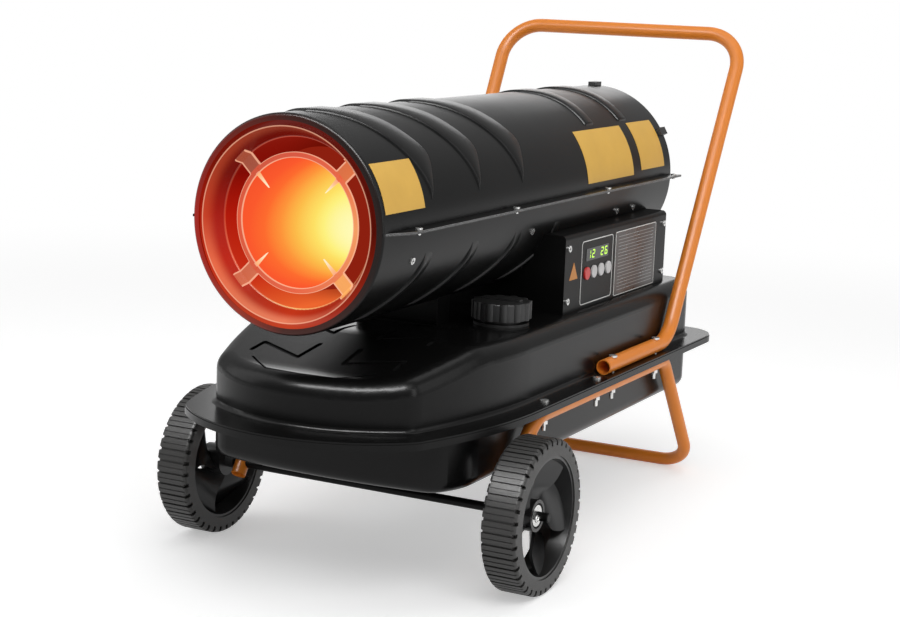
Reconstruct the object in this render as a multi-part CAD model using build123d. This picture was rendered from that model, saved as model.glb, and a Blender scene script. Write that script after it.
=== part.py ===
from build123d import *
import os
from math import atan2, cos, degrees, pi, radians, sin

# A wheeled forced-air heater: a barrel that blows hot air out of its front end, over a fuel tank
# on two wheels and a bent tube frame.
# Millimetres. +X is the control-panel side, +Y the rear, +Z up, the floor is z = 0.
# All y values are counted from the wheel axle; save() moves the pieces to the middle of the footprint.

# ---- general
RUN_FIT = 0.05        # radial clearance of a shaft that turns in its bore
MOVE_GAP = 0.35       # clearance beside parts that move without touching
SINK = 0.4            # how far a fused detail starts inside the wall that carries it

# ---- main lengths (all places below follow from these)
WHEEL_R = 101.6
BARREL_R = 135.0
BARREL_FRONT = -213.0
BARREL_REAR = 718.0
CHAMBER_REAR = 206.0
WALL_X = 188.0        # half width of the tank's body
TANK_BOTTOM = 139.5
TANK_SEAM_Z = 219.5
TANK_TOP = 313.0
BARREL_GAP = 24.5     # between the tank's top and the barrel
HANDLE_RISE = 88.5    # grip's middle above the barrel

# ---- tank
TANK_SHEET = 2.0
WALL_FRONT = -199.0
WALL_REAR = BARREL_REAR - 3.0
WALL_REAR_R = 40.0
LOW_FRONT = -130.0    # the lower pan's body starts behind the upper one's nose
FLANGE_SIDE = 30.0    # width of the flange beside the body
FLANGE_NOSE = 51.0    # width of the flange in front of the body
FLANGE_TAIL = 44.0    # width of the flange behind the body
FLANGE_REAR_R = 55.0
# nose shapes: nose radius as a share of the half width, its arc, corner radius likewise, arc up to its end
WALL_NOSE = (1.144, 40.0, 0.213, 71.4)
LOW_NOSE = (5.32, 8.3, 0.213, 60.0)
FLANGE_NOSE_SHAPE = (1.055, 45.0, 0.206, 68.0)
FLANGE_T = 2.5
FLANGE_COVE = 6.0     # hollow radius between the body and the flange
SKIRT = 8.5           # height of the lower flange's turned-down rim
SKIRT_T = 2.0
BOTTOM_FILLET = 16.0
TANK_NOSE_DROP = 28.0  # how far the nose's top lies below the tank's top
NOSE_STEP_FRONT = -160.0
NOSE_STEP_REAR = -20.0
NOSE_STEP_R = 120.0
TANK_TOP_FILLET = 24.0
GROOVE_W = 7.0        # zigzag grooves pressed into the top
GROOVE_DEPTH = 2.5
GROOVE_Y = (-124.0, -37.0, 62.0)
GROOVE_ZIGZAG = ((0.16, 48), (0.18, 0), (0.55, 31), (0.56, 4))  # (share of the half width, y)
NOSE_LINE = ((0, 22), (50, 26), (90, 58))
NOSE_LINE_W = 3.0
DRAIN_Y = WALL_REAR - 75.0
DRAIN_R = 9.0
DRAIN_HEX = 13.0
DRAIN_HEAD = 7.0

# ---- filler
CAP_X = WALL_X - 70.0
CAP_Y = 150.0
CAP_R = 41.0
CAP_RAISE = 8.0       # cap's lower edge above the tank
CAP_H = 24.0
CAP_LOBES = 12
CAP_EDGE = 2.5
CAP_PLAY = 1.2        # between the cap's inside and the neck
CAP_BAR_W = 10.0
CAP_BAR_H = 3.0
NECK_R = 28.0
NECK_WALL = 3.5
NECK_H = 21.0
NECK_RING_R = 38.0
NECK_RING_T = 3.5
STRAINER_DEPTH = 60.0
STRAINER_T = 1.2
STRAINER_ROWS = 3
STRAINER_SLOT = (5.0, 7.0)
GASKET_T = 2.5

# ---- barrel
BARREL_Z = TANK_TOP + BARREL_GAP + BARREL_R
SHELL_T = 1.5
LIP_W = 9.0           # the shell's front edge is turned in by this much
LIP_CURL = 5.0
SEAM_W = 18.7         # width of the side flanges
SEAM_START = 41.0     # where they begin behind the front edge
SEAM_T = 1.6
SEAM_CORNER = 12.0
RIB_H = 3.0
RIB_PITCH = 129.0
RIB_COUNT = 3
LOW_RIB_PITCH = 128.0
LOW_RIB_COUNT = 4
LOW_RIB_START = -15.0
LOW_RIB_W = 26.0
BAND_STARTS = (BARREL_REAR - 272.0, BARREL_REAR - 145.0)
BAND_W = 30.0
BAND_END = 48.0       # degrees from the top

# ---- burner
CONE_SHEET = 1.4
CONE_MOUTH_GAP = 7.5  # between the lip and the flare's front edge
CONE_TAPER = 13.0     # how much narrower the flare's inner end is
CONE_OUT = 1.6        # flare's front edge in front of the shell
CONE_DEPTH = 28.6
CONE_PLATE_Y = BARREL_FRONT + 13.0
CONE_BEAD_R = 1.8
CHAMBER_GAP = 19.0    # between the flare's inner end and the chamber
CHAMBER_T = 1.5
CHAMBER_BEAD = 2.5
RING_T = 2.0
RING_W = 7.0
ARM_W = 20.0
ARM_FOOT = 9.0
FIN_LENGTH = 23.0
FIN_BASE = 6.0
FIN_T = 3.0
HEAD_T = 6.0
HEAD_SLOTS = 12
BURNER_BRACKET_T = 12.0
NOZZLE_R = 9.0
NOZZLE_BACK = 22.0    # how far the nozzle stands out behind the burner head
ELECTRODE_X = 7.0
ELECTRODE_UP = 22.0
ELECTRODE_R = 2.2
SENSOR_R = 7.0
SENSOR_ANGLE = 202.0
AIR_LINE_R = 3.5
FUEL_LINE_R = 3.0
LINE_WALL = 1.0
LINE_BEND = 10.0
FUEL_LINE_X = 26.0
FUEL_LINE_Y = 330.0
FUEL_LINE_DROP = 90.0  # its level run below the barrel's axis

# ---- fan and motor
MOTOR_R = 54.0
MOTOR_FRONT = BARREL_REAR - 218.0
MOTOR_REAR = MOTOR_FRONT + 100.0
MOTOR_BRACKETS = (MOTOR_FRONT + 13.0, MOTOR_REAR - 23.0)
BRACKET_T = 3.0
BRACKET_RIM = 10.0    # width of a bracket's ring
BRACKET_ARM_W = 18.0
SHAFT_R = 6.0
FAN_Y = MOTOR_FRONT - 45.0
FAN_TIP_GAP = 15.5
FAN_HUB_R = 24.0
FAN_BLADES = 6
FAN_BLADE_T = 2.4
FAN_DEPTH = 26.0
PUMP_R = 42.0
PUMP_DEPTH = 34.0
PUMP_ROTOR_R = 27.0
PUMP_ROTOR_W = 14.0
FILTER_R = 39.0
FILTER_DEPTH = 26.0
GUARD_WIRE = 2.6
GUARD_RINGS = 4
CLIP_LENGTH = 22.0
CLIP_W = 12.0
CLIP_H = 6.0
CLIP_SIDE_H = 3.4     # clip's end behind the guard

# ---- control box
BOX_X = WALL_X - 28.0
BOX_FRONT = 260.0
BOX_REAR = BARREL_REAR - 74.0
BOX_TOP = BARREL_Z - 48.5
BOX_SHEET = 1.6
BOX_EDGE_R = 7.0
PANEL_T = 1.6
DISPLAY_Y = (BOX_FRONT + 73.0, BOX_FRONT + 153.0)
DISPLAY_Z = (TANK_TOP + 67.0, TANK_TOP + 85.0)
BUTTON_Y = tuple(BOX_FRONT + d for d in (77.0, 102.0, 128.0, 154.0))
BUTTON_Z = TANK_TOP + 49.5
BUTTON_R = 9.3
BUTTON_OUT = 2.6
BUTTON_TRAVEL = 1.0
BUTTON_COLLAR_T = 2.0
BUTTON_COLLAR_W = 1.5
GLAND_R = 10.0
GLAND_COLLAR_R = 14.0
GLAND_COLLAR_T = 5.0
GLAND_LENGTH = 24.0
GLAND_INSIDE = 8.0
GLAND_BORE_R = 4.5
GLAND_X = BOX_X - 40.0
GLAND_Z = TANK_TOP + 35.5
FRONT_BRACKET_Y = (70.0, 104.0)
FRONT_BRACKET_X = 62.0
FRONT_BRACKET_FOOT = 16.0

# ---- handle and leg frame
HANDLE_R = 11.0
TUBE_WALL = 1.6
HANDLE_FOOT_GAP = 1.0  # between the tank's body and the handle's foot
HANDLE_FOOT_START = 322.0
HANDLE_TOP_OUT = 10.0  # how much wider the grip is than the feet
HANDLE_TOP_Y = BARREL_REAR + 101.5
HANDLE_FOOT_BEND = HANDLE_TOP_Y - 249.5
HANDLE_FOOT_BEND_R = 55.0
HANDLE_TOP_BEND_R = 60.0
LEG_R = 10.0
LEG_INSET = 13.0      # leg tube's middle inside the flange's edge
LEG_AXLE_INSET = 8.0
LEG_FLOOR_INSET = 5.0
LEG_FRONT_BEND = 85.0
LEG_FLOOR_Y = WALL_REAR - 12.0
LEG_REAR_BEND = LEG_FLOOR_Y - 156.0
LEG_END_PAST_AXLE = 18.0
LEG_FRONT_BEND_R = 50.0
LEG_REAR_BEND_R = 32.0
LEG_CORNER_R = 50.0

# ---- wheels and axle
WHEEL_W = 48.0
AXLE_R = 6.0
SPACER_WALL = 3.0
SPACER_GAP = 1.0      # between the leg tube and the spacer
SPACER_L = 12.65
TYRE_SEAT_R = 80.0
RIM_WALL = 4.0
RIM_INSET = 1.5       # rim edge behind the tyre's face
TYRE_SHOULDER = 5.0
TREAD_COUNT = 40
TREAD_DEPTH = 2.4
TREAD_SLOT = 3.0
SIPE_DEPTH = 1.2      # second, finer slot between two lugs
SIPE_W = 1.6
NOTCH_W = 5.0         # slots cut into the tyre's shoulders
NOTCH_DEPTH = 8.5
NOTCH_IN = 4.0
HUB_R = 21.0
HUB_FACE = 16.0       # hub face behind the tyre's outer face
HUB_POCKET_R = 16.5
HUB_POCKET = 3.0
BLADE_COUNT = 5
BLADE_T = 4.5         # blade's thickness along the axle
BLADE_SWEEP = 65.0    # degrees from a blade's front edge to its rear edge
BLADE_BACK = 10.0     # blade's rear edge in front of the wheel's inner face
BLADE_FRONT = 4.0     # blade's front edge behind the hub's face and the rim's edge
BLADE_LINE = ((0.2, 75), (0.415, 53), (0.69, 39), (0.875, 42), (1.21, 60))  # (share of radius, degrees)
WASHER_R = 14.0
WASHER_T = 2.0
PIN_R = 1.7           # cotter pin leg
PIN_WIRE_R = 1.36
PIN_EYE = 7.0
PIN_FROM_FACE = 11.0  # cotter pin behind the tyre's outer face

# ---- fasteners
BOLT_R = 3.0
BOLT_HEAD_R = 6.0
BOLT_HEAD_H = 2.6
BOLT_TAIL = 14.0
NUT_H = 5.0
FLANGE_BOLT_INSET = 15.0
FLANGE_BOLT_Y = (116.0, HANDLE_FOOT_START - 30.0)
HANDLE_BOLT_Y = (HANDLE_FOOT_START + 28.0, HANDLE_FOOT_BEND - 54.0)
SEAM_SCREW_Y = (BARREL_FRONT + 68.0, BARREL_FRONT + 338.0, BARREL_REAR - 282.0, BARREL_REAR - 14.0)
SHELL_SCREW_Y = (BARREL_FRONT + 83.0, CHAMBER_REAR + BURNER_BRACKET_T / 2) + MOTOR_BRACKETS
SHELL_SCREW_ANGLE = 107.0
PANEL_SCREW_Y = (BOX_FRONT + 12.0, BOX_REAR - 10.0)
PANEL_SCREW_Z = (TANK_TOP + 17.0, TANK_TOP + 92.0)
SCREW_R = 2.4
SCREW_HEAD_R = 4.6
SCREW_HEAD_H = 2.2

# ---- places worked out from the sizes above
FLANGE_X = WALL_X + FLANGE_SIDE
FLANGE_FRONT = WALL_FRONT - FLANGE_NOSE
FLANGE_REAR = WALL_REAR + FLANGE_TAIL
FLANGE_TOP = TANK_SEAM_Z + FLANGE_T
FLANGE_UNDER = TANK_SEAM_Z - FLANGE_T
TANK_NOSE_TOP = TANK_TOP - TANK_NOSE_DROP
LEG_X = FLANGE_X - LEG_INSET
LEG_AXLE_X = LEG_X - LEG_AXLE_INSET
LEG_FLOOR_X = LEG_X - LEG_FLOOR_INSET
LEG_TUBE_Z = FLANGE_UNDER - LEG_R
AXLE_Z = WHEEL_R
WHEEL_IN = LEG_AXLE_X + LEG_R + SPACER_GAP + SPACER_L + MOVE_GAP
WHEEL_OUT = WHEEL_IN + WHEEL_W
HUB_OUT = WHEEL_OUT - HUB_FACE
RIM_OUT = WHEEL_OUT - RIM_INSET
RIM_IN_R = TYRE_SEAT_R - RIM_WALL
HANDLE_FOOT_X = WALL_X + HANDLE_R + HANDLE_FOOT_GAP
HANDLE_FOOT_Z = FLANGE_TOP + HANDLE_R
HANDLE_TOP_X = HANDLE_FOOT_X + HANDLE_TOP_OUT
HANDLE_TOP_Z = BARREL_Z + BARREL_R + HANDLE_RISE
CAP_BOTTOM = TANK_TOP + CAP_RAISE
NECK_BORE_R = NECK_R - NECK_WALL
NECK_TOP = TANK_TOP + NECK_H
NECK_SEAT = NECK_TOP - GASKET_T
SHELL_IN_R = BARREL_R - SHELL_T
LIP_R = BARREL_R - LIP_W
SEAM_X = BARREL_R + SEAM_W
SEAM_FRONT = BARREL_FRONT + SEAM_START
SEAM_SCREW_X = BARREL_R + (SEAM_W + RIB_H) / 2
CONE_MOUTH_R = LIP_R - CONE_MOUTH_GAP
CONE_THROAT_R = CONE_MOUTH_R - CONE_TAPER
CONE_FRONT = BARREL_FRONT - CONE_OUT
CONE_THROAT_Y = CONE_FRONT + CONE_DEPTH
LINER_R = CONE_THROAT_R + (CONE_BEAD_R + CONE_SHEET) / 2
CHAMBER_R = CONE_THROAT_R - CHAMBER_GAP
CHAMBER_IN_R = CHAMBER_R - CHAMBER_T
CHAMBER_FRONT = CONE_THROAT_Y + SINK
RING_HOLE_R = CHAMBER_R - RING_W
FAN_R = SHELL_IN_R - FAN_TIP_GAP
MOTOR_MID = (MOTOR_FRONT + MOTOR_REAR) / 2
PUMP_REAR = MOTOR_REAR + PUMP_DEPTH
PUMP_Y = MOTOR_REAR + PUMP_DEPTH / 2
ROTOR_FRONT = PUMP_Y - PUMP_ROTOR_W / 2
ROTOR_REAR = PUMP_Y + PUMP_ROTOR_W / 2
FILTER_REAR = PUMP_REAR + FILTER_DEPTH
LINE_END_Y = CHAMBER_REAR + (BURNER_BRACKET_T + NOZZLE_BACK) / 2
FUEL_LINE_Z = BARREL_Z - FUEL_LINE_DROP
PANEL_TOP = BOX_TOP - BOX_EDGE_R
BUTTON_BACK = BOX_X - PANEL_T - MOVE_GAP
FRONT_END = FLANGE_FRONT - SKIRT_T / 2
REAR_END = HANDLE_TOP_Y + HANDLE_R
CENTRE_Y = (FRONT_END + REAR_END) / 2

BASE = (Align.CENTER, Align.CENTER, Align.MIN)
MIRROR = Plane.YZ


# ---- helpers
def block(x0, x1, y0, y1, z0, z1):
    """Box between two corners."""
    size = (x1 - x0, y1 - y0, z1 - z0)
    return Pos((x0 + x1) / 2, (y0 + y1) / 2, (z0 + z1) / 2) * Box(*size)


def bar_x(radius, x0, x1, y, z):
    return Pos(x0, y, z) * Rot(0, 90, 0) * Cylinder(radius, x1 - x0, align=BASE)


def bar_y(radius, y0, y1, x=0.0, z=BARREL_Z):
    return Pos(x, y0, z) * Rot(-90, 0, 0) * Cylinder(radius, y1 - y0, align=BASE)


def bar_z(radius, z0, z1, x, y):
    return Pos(x, y, z0) * Cylinder(radius, z1 - z0, align=BASE)


def ring_y(outer, inner, y0, y1):
    """Straight tube round the barrel's axis."""
    return bar_y(outer, y0, y1) - bar_y(inner, y0 - 1, y1 + 1)


def turned_y(points):
    """Solid of revolution round the barrel's axis, from (radius, y) points."""
    return Pos(0, 0, BARREL_Z) * revolve(make_face(Polyline(*points, close=True)), Axis.Y)


def turned_x(face):
    """Solid of revolution round the axle, from a face drawn as (x, radius)."""
    return Pos(0, 0, AXLE_Z) * revolve(face, Axis.X)


def round_barrel(angle, radius, y):
    """Place on the barrel: angle in degrees from the top towards +X; local +Z points outwards."""
    a = radians(angle)
    place = Plane(origin=(radius * sin(a), y, BARREL_Z + radius * cos(a)), x_dir=(0, 1, 0),
                  z_dir=(sin(a), 0, cos(a)))
    return Location(place)


def both_sides(shape):
    return [shape, mirror(shape, about=MIRROR)]


def group(shapes):
    """One node that holds separate solids."""
    return Compound([solid for shape in shapes for solid in shape.solids()])


def bent_tube(points, bends, radius, wall):
    """Round tube through the points, open at both ends: straight runs joined by arcs of the given radii."""
    path = FilletPolyline(*points, radius=bends)
    whole = None
    for edge in path.edges():
        start = edge @ 0
        section = Plane(origin=start, z_dir=edge % 0) * (Circle(radius) - Circle(radius - wall))
        if edge.geom_type == GeomType.LINE:
            run = extrude(section, edge.length)
        else:
            centre = edge.arc_center
            normal = (start - centre).cross(edge % 0)
            run = revolve(section, Axis(centre, normal), degrees(edge.length / edge.radius))
        whole = run if whole is None else whole + run
    return whole


def screw_z(x, y, z_seat, length):
    """Pan-head screw that points down, its head on z_seat."""
    head = bar_z(SCREW_HEAD_R, z_seat, z_seat + SCREW_HEAD_H, x, y)
    return head + bar_z(SCREW_R, z_seat - length, z_seat, x, y)


# ---- tank
def tank_outline(nose_shape, half_width, front, rear, rear_r, inset):
    """Plan of the tank: a nose of three arcs that run into straight sides, and round rear corners."""
    nose_share, nose_arc, corner_share, corner_arc = nose_shape
    x, y = half_width - inset, rear - inset
    nose = JernArc((0, front + inset), (1, 0), nose_share * half_width - inset, nose_arc)
    corner = JernArc(nose @ 1, nose % 1, corner_share * half_width - inset, corner_arc - nose_arc)
    flank_r = (x - (corner @ 1).X) / (1 - sin(radians(corner_arc)))
    flank = JernArc(corner @ 1, corner % 1, flank_r, 90 - corner_arc)
    side = Line(flank @ 1, (x, rear - rear_r))
    rear_corner = JernArc(side @ 1, (0, 1), rear_r - inset, 90)
    back = Line(rear_corner @ 1, (0, y))
    half = [nose, corner, flank, side, rear_corner, back]
    return make_face(half + [mirror(edge, about=MIRROR) for edge in half])


def wall_outline(inset=0.0):
    return tank_outline(WALL_NOSE, WALL_X, WALL_FRONT, WALL_REAR, WALL_REAR_R, inset)


def low_outline(inset=0.0):
    return tank_outline(LOW_NOSE, WALL_X, LOW_FRONT, WALL_REAR, WALL_REAR_R, inset)


def flange_outline(inset=0.0):
    return tank_outline(FLANGE_NOSE_SHAPE, FLANGE_X, FLANGE_FRONT, FLANGE_REAR, FLANGE_REAR_R, inset)


def tank_top_block(inset):
    """The upper pan's plain body: its top slopes down to a lower nose, and its edges are well rounded."""
    base_z = TANK_SEAM_Z - 1
    low, high = TANK_NOSE_TOP - inset, TANK_TOP - inset
    reach = 2 * FLANGE_REAR
    slope = [(-reach, low), (NOSE_STEP_FRONT, low), (NOSE_STEP_REAR, high), (reach, high)]
    top_line = FilletPolyline(*slope, radius=NOSE_STEP_R)
    rest = Polyline(top_line @ 1, (reach, base_z), (-reach, base_z), top_line @ 0)
    body = extrude(Plane.YZ * make_face([top_line, rest]), amount=FLANGE_X, both=True)
    body &= Pos(0, 0, base_z) * extrude(wall_outline(inset), TANK_TOP)
    rim = [edge for edge in body.edges() if edge.center().Z > low - 1 and not crosses_top(edge)]
    return fillet(rim, TANK_TOP_FILLET - inset)


def crosses_top(edge):
    """True for the smooth seams that run across the top, from wall to wall."""
    middle = edge.center()
    return abs(middle.X) < 1 and WALL_FRONT + TANK_TOP_FILLET < middle.Y < WALL_REAR - TANK_TOP_FILLET


def pressed_line(points, width):
    """Plan of a pressed line through the points, round at its ends and corners."""
    plan = Sketch()
    for start, end in zip(points, points[1:]):
        start, end = Vector(*start), Vector(*end)
        run = end - start
        turn = Rot(0, 0, degrees(atan2(run.Y, run.X)))
        plan += Location((start + end) / 2) * turn * SlotCenterToCenter(run.length, width)
    return plan


def pressed_plan(widen):
    """Plan of everything pressed into the top: a zigzag in each row, and a thin line round the nose."""
    plan = pressed_line([(x, WALL_FRONT + dy) for x, dy in NOSE_LINE], NOSE_LINE_W + widen)
    for y in GROOVE_Y:
        plan += pressed_line([(x * WALL_X, y + dy) for x, dy in GROOVE_ZIGZAG], GROOVE_W + widen)
    return plan + mirror(plan, about=MIRROR)


def tank_body(inset):
    """The upper pan's body with its pressed lines."""
    body = tank_top_block(inset)
    layer = body - tank_top_block(inset + GROOVE_DEPTH)
    return body - (layer & extrude(pressed_plan(2 * inset), 2 * TANK_TOP))


def make_tank_upper():
    pan = tank_body(0) - block(-FLANGE_X, FLANGE_X, FLANGE_FRONT, FLANGE_REAR, 0, TANK_SEAM_Z)
    pan += Pos(0, 0, TANK_SEAM_Z) * extrude(flange_outline(), FLANGE_T)
    flange_face = pan.faces().filter_by_position(Axis.Z, FLANGE_TOP - 0.1, FLANGE_TOP + 0.1)[0]
    pan = fillet(flange_face.inner_wires()[0].edges(), FLANGE_COVE)
    pan -= tank_body(TANK_SHEET)
    pan -= bar_z(NECK_R, TANK_TOP - NECK_R, TANK_TOP + NECK_R, CAP_X, CAP_Y)
    for hole in bolt_holes():
        pan -= hole
    return pan


def pan_block(inset):
    """The lower pan's body, round at its bottom edge and open at the seam."""
    bottom = TANK_BOTTOM + inset
    body = Pos(0, 0, bottom) * extrude(low_outline(inset), TANK_SEAM_Z - bottom)
    return fillet(body.faces().sort_by(Axis.Z)[0].edges(), BOTTOM_FILLET - inset)


def make_tank_lower():
    rim_out = flange_outline(-SKIRT_T / 2)
    pan = pan_block(0) + Pos(0, 0, FLANGE_UNDER) * extrude(rim_out, FLANGE_T)
    skirt = extrude(rim_out, SKIRT) - extrude(flange_outline(SKIRT_T / 2), SKIRT)
    pan += Pos(0, 0, TANK_SEAM_Z - SKIRT) * skirt
    pan -= pan_block(TANK_SHEET)
    pan -= bar_z(DRAIN_R, TANK_BOTTOM - 1, TANK_BOTTOM + TANK_SHEET + 1, 0, DRAIN_Y)
    for hole in bolt_holes():
        pan -= hole
    return pan


def bolt_places():
    """(x, y, height of the seat) of the bolts that clamp the frame and the handle to the tank's flange."""
    places = [(FLANGE_X - FLANGE_BOLT_INSET, y, FLANGE_TOP) for y in FLANGE_BOLT_Y]
    places += [((HANDLE_FOOT_X + LEG_X) / 2, y, HANDLE_FOOT_Z + HANDLE_R) for y in HANDLE_BOLT_Y]
    return places


def bolt_holes():
    holes = [bar_z(BOLT_R, LEG_TUBE_Z - 2 * LEG_R, z + LEG_R, x, y) for x, y, z in bolt_places()]
    return [h for hole in holes for h in both_sides(hole)]


def make_frame_bolts():
    bolts = []
    for x, y, seat in bolt_places():
        low = LEG_TUBE_Z - LEG_R
        bolt = bar_z(BOLT_R, low - BOLT_TAIL, seat, x, y)
        bolt += bar_z(BOLT_HEAD_R, seat, seat + BOLT_HEAD_H, x, y)
        bolts += both_sides(bolt)
    return group(bolts)


def make_frame_nuts():
    nuts = []
    low = LEG_TUBE_Z - LEG_R
    for x, y, seat in bolt_places():
        nut = extrude(RegularPolygon(BOLT_HEAD_R, 6) - Circle(BOLT_R), NUT_H)
        nuts += both_sides(Pos(x, y, low - NUT_H) * nut)
    return group(nuts)


# ---- filler
def make_filler_neck():
    neck = bar_z(NECK_R, TANK_TOP - 3 * TANK_SHEET, NECK_SEAT, CAP_X, CAP_Y)
    neck += bar_z(NECK_RING_R, TANK_TOP, TANK_TOP + NECK_RING_T, CAP_X, CAP_Y)
    return neck - bar_z(NECK_BORE_R, TANK_TOP - NECK_H, NECK_TOP, CAP_X, CAP_Y)


def make_fuel_strainer():
    top = NECK_SEAT - 2 * STRAINER_T
    cup_r = NECK_BORE_R - 1
    low = top - STRAINER_DEPTH
    cup = bar_z(NECK_BORE_R, top - STRAINER_T, top, CAP_X, CAP_Y) + bar_z(cup_r, low, top, CAP_X, CAP_Y)
    cup -= bar_z(cup_r - STRAINER_T, low + STRAINER_T, top + 1, CAP_X, CAP_Y)
    for row in range(STRAINER_ROWS):
        z = top - STRAINER_DEPTH * (row + 1) / (STRAINER_ROWS + 1)
        for angle in (0, 45, 90, 135):
            cup -= Pos(CAP_X, CAP_Y, z) * Rot(0, 0, angle) * Box(3 * NECK_R, *STRAINER_SLOT)
    return cup


def make_cap_gasket():
    top = NECK_SEAT + GASKET_T
    ring = bar_z(NECK_R, NECK_SEAT, top, CAP_X, CAP_Y)
    return ring - bar_z(NECK_BORE_R - 1, NECK_SEAT, top, CAP_X, CAP_Y)


def make_fuel_cap():
    """Lobed cap with a thumb bar across its top, hollow over the neck."""
    lobe_r = CAP_R * pi / CAP_LOBES * 0.62
    cap = Cylinder(CAP_R - CAP_EDGE, CAP_H, align=BASE)
    cap = fillet(cap.edges().group_by(Axis.Z)[-1], CAP_EDGE)
    lobe = Cylinder(lobe_r, CAP_H, align=BASE)
    cap += [place * lobe for place in PolarLocations(CAP_R - lobe_r, CAP_LOBES)]
    cap += Pos(0, 0, CAP_H) * Box(1.4 * CAP_R, CAP_BAR_W, 2 * CAP_BAR_H)
    hollow = Cylinder(NECK_R + CAP_PLAY, NECK_TOP + MOVE_GAP - CAP_BOTTOM, align=BASE)
    return Pos(CAP_X, CAP_Y, CAP_BOTTOM) * (cap - hollow)


def make_drain_plug():
    head = extrude(RegularPolygon(DRAIN_HEX, 6), DRAIN_HEAD)
    thread = bar_z(DRAIN_R, TANK_BOTTOM, TANK_BOTTOM + 4 * TANK_SHEET, 0, DRAIN_Y)
    return Pos(0, DRAIN_Y, TANK_BOTTOM - DRAIN_HEAD) * head + thread


# ---- barrel
def shell_half(upper):
    """Half of the barrel's casing with its turned-in front lip and the flanges that meet at its sides."""
    inner_y = BARREL_FRONT + SHELL_T
    corners = [(SHELL_IN_R, BARREL_REAR), (BARREL_R, BARREL_REAR), (BARREL_R, BARREL_FRONT),
               (LIP_R, BARREL_FRONT), (LIP_R, inner_y), (SHELL_IN_R, inner_y)]
    face = make_face(Polyline(*corners, close=True))
    face = fillet(face.vertices().sort_by_distance((BARREL_R, BARREL_FRONT))[0], LIP_CURL)
    face = fillet(face.vertices().sort_by_distance((SHELL_IN_R, inner_y))[0], LIP_CURL - SHELL_T)
    shell = Pos(0, 0, BARREL_Z) * revolve(face, Axis.Y)
    reach = 2 * BARREL_R
    z0, z1 = (BARREL_Z, BARREL_Z + reach) if upper else (BARREL_Z - reach, BARREL_Z)
    shell &= block(-reach, reach, BARREL_FRONT - SEAM_W, BARREL_REAR + SEAM_W, z0, z1)
    for side in both_sides(seam_flange(BARREL_Z if upper else BARREL_Z - SEAM_T)):
        shell += side
    for x, y in seam_places():
        shell -= bar_z(SCREW_R, BARREL_Z - BARREL_R, BARREL_Z + BARREL_R, x, y)
    return shell


def seam_flange(z):
    """Flange along the shell's +X edge, with a round front corner."""
    flange = block(SHELL_IN_R + SINK, SEAM_X, SEAM_FRONT, BARREL_REAR, z, z + SEAM_T)
    corner = flange.edges().filter_by(Axis.Z).sort_by_distance((SEAM_X, SEAM_FRONT, z))[0]
    return fillet(corner, SEAM_CORNER)


def raised(points, up):
    """A band embossed on the barrel; its outline is given by (y, angle from the top) points."""
    outer = BARREL_R + RIB_H
    outline = Polyline(*[(outer * sin(radians(a)), y) for y, a in points], close=True)
    prism = Pos(0, 0, BARREL_Z) * extrude(make_face(outline), 2 * BARREL_R, dir=(0, 0, up))
    return prism & ring_y(outer, BARREL_R - SINK, BARREL_FRONT, BARREL_REAR)


def chevron(y):
    """One half of a swept rib, from the barrel's top to a point above the side seam."""
    outline = [(-175, 0), (-163, 8), (-147, 20), (-124, 38), (-106, 53), (-89, 68), (-84, 80), (-76, 77),
               (-62, 62), (-57, 53), (-67, 44), (-77, 35), (-89, 24), (-122, 0)]
    return raised([(y + dy, a) for dy, a in outline], 1)


def make_upper_shell():
    shell = shell_half(True)
    for i in range(RIB_COUNT):
        for rib in both_sides(chevron(i * RIB_PITCH)):
            shell += rib
    for start in BAND_STARTS:
        outline = [(start - 22, 0), (start - 7, 12), (start, 26), (start, BAND_END),
                   (start + BAND_W, BAND_END), (start + BAND_W, 0)]
        for band in both_sides(raised(outline, 1)):
            shell += band
    return shell


def slanted_rib(y):
    """One half of a lower rib: it starts under the side seam and sweeps forward under the barrel."""
    front = [(-83, 104), (-90, 112), (-99, 120), (-110, 126), (-122, 131), (-140, 140), (-158, 150)]
    outline = front + [(dy + LOW_RIB_W, a) for dy, a in reversed(front)]
    return raised([(y + dy, a) for dy, a in outline], -1)


def make_lower_shell():
    shell = shell_half(False)
    for i in range(LOW_RIB_COUNT):
        for rib in both_sides(slanted_rib(LOW_RIB_START + i * LOW_RIB_PITCH)):
            shell += rib
    return shell - fuel_line_hole()


def seam_places():
    return [(side * SEAM_SCREW_X, y) for side in (1, -1) for y in SEAM_SCREW_Y]


def make_seam_screws():
    seat = BARREL_Z + SEAM_T
    return group([screw_z(x, y, seat, 4 * SEAM_T) for x, y in seam_places()])


def make_shell_screws():
    head = Cylinder(SCREW_HEAD_R, SCREW_HEAD_H, align=BASE)
    screws = [round_barrel(SHELL_SCREW_ANGLE, BARREL_R, y) * head for y in SHELL_SCREW_Y]
    return group([s for screw in screws for s in both_sides(screw)])


# ---- burner
def make_outlet_cone():
    """Flared mouth inside the barrel's front, with the plate that carries it in the shell."""
    flare = turned_y([(CONE_MOUTH_R, CONE_FRONT), (CONE_MOUTH_R + CONE_SHEET, CONE_FRONT),
                      (CONE_THROAT_R + CONE_SHEET, CONE_THROAT_Y), (CONE_THROAT_R, CONE_THROAT_Y)])
    share = (CONE_PLATE_Y - CONE_FRONT) / (CONE_THROAT_Y - CONE_FRONT)
    plate_in = CONE_MOUTH_R + share * (CONE_THROAT_R - CONE_MOUTH_R) + CONE_SHEET / 2
    plate = ring_y(SHELL_IN_R, plate_in, CONE_PLATE_Y, CONE_PLATE_Y + CONE_SHEET)
    return flare + plate + throat_bead()


def throat_bead():
    """Round rolled edge at the flare's inner end."""
    bead = revolve(Pos(CONE_THROAT_R + CONE_BEAD_R / 2, CONE_THROAT_Y) * Circle(CONE_BEAD_R), Axis.Y)
    return Pos(0, 0, BARREL_Z) * bead


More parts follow.
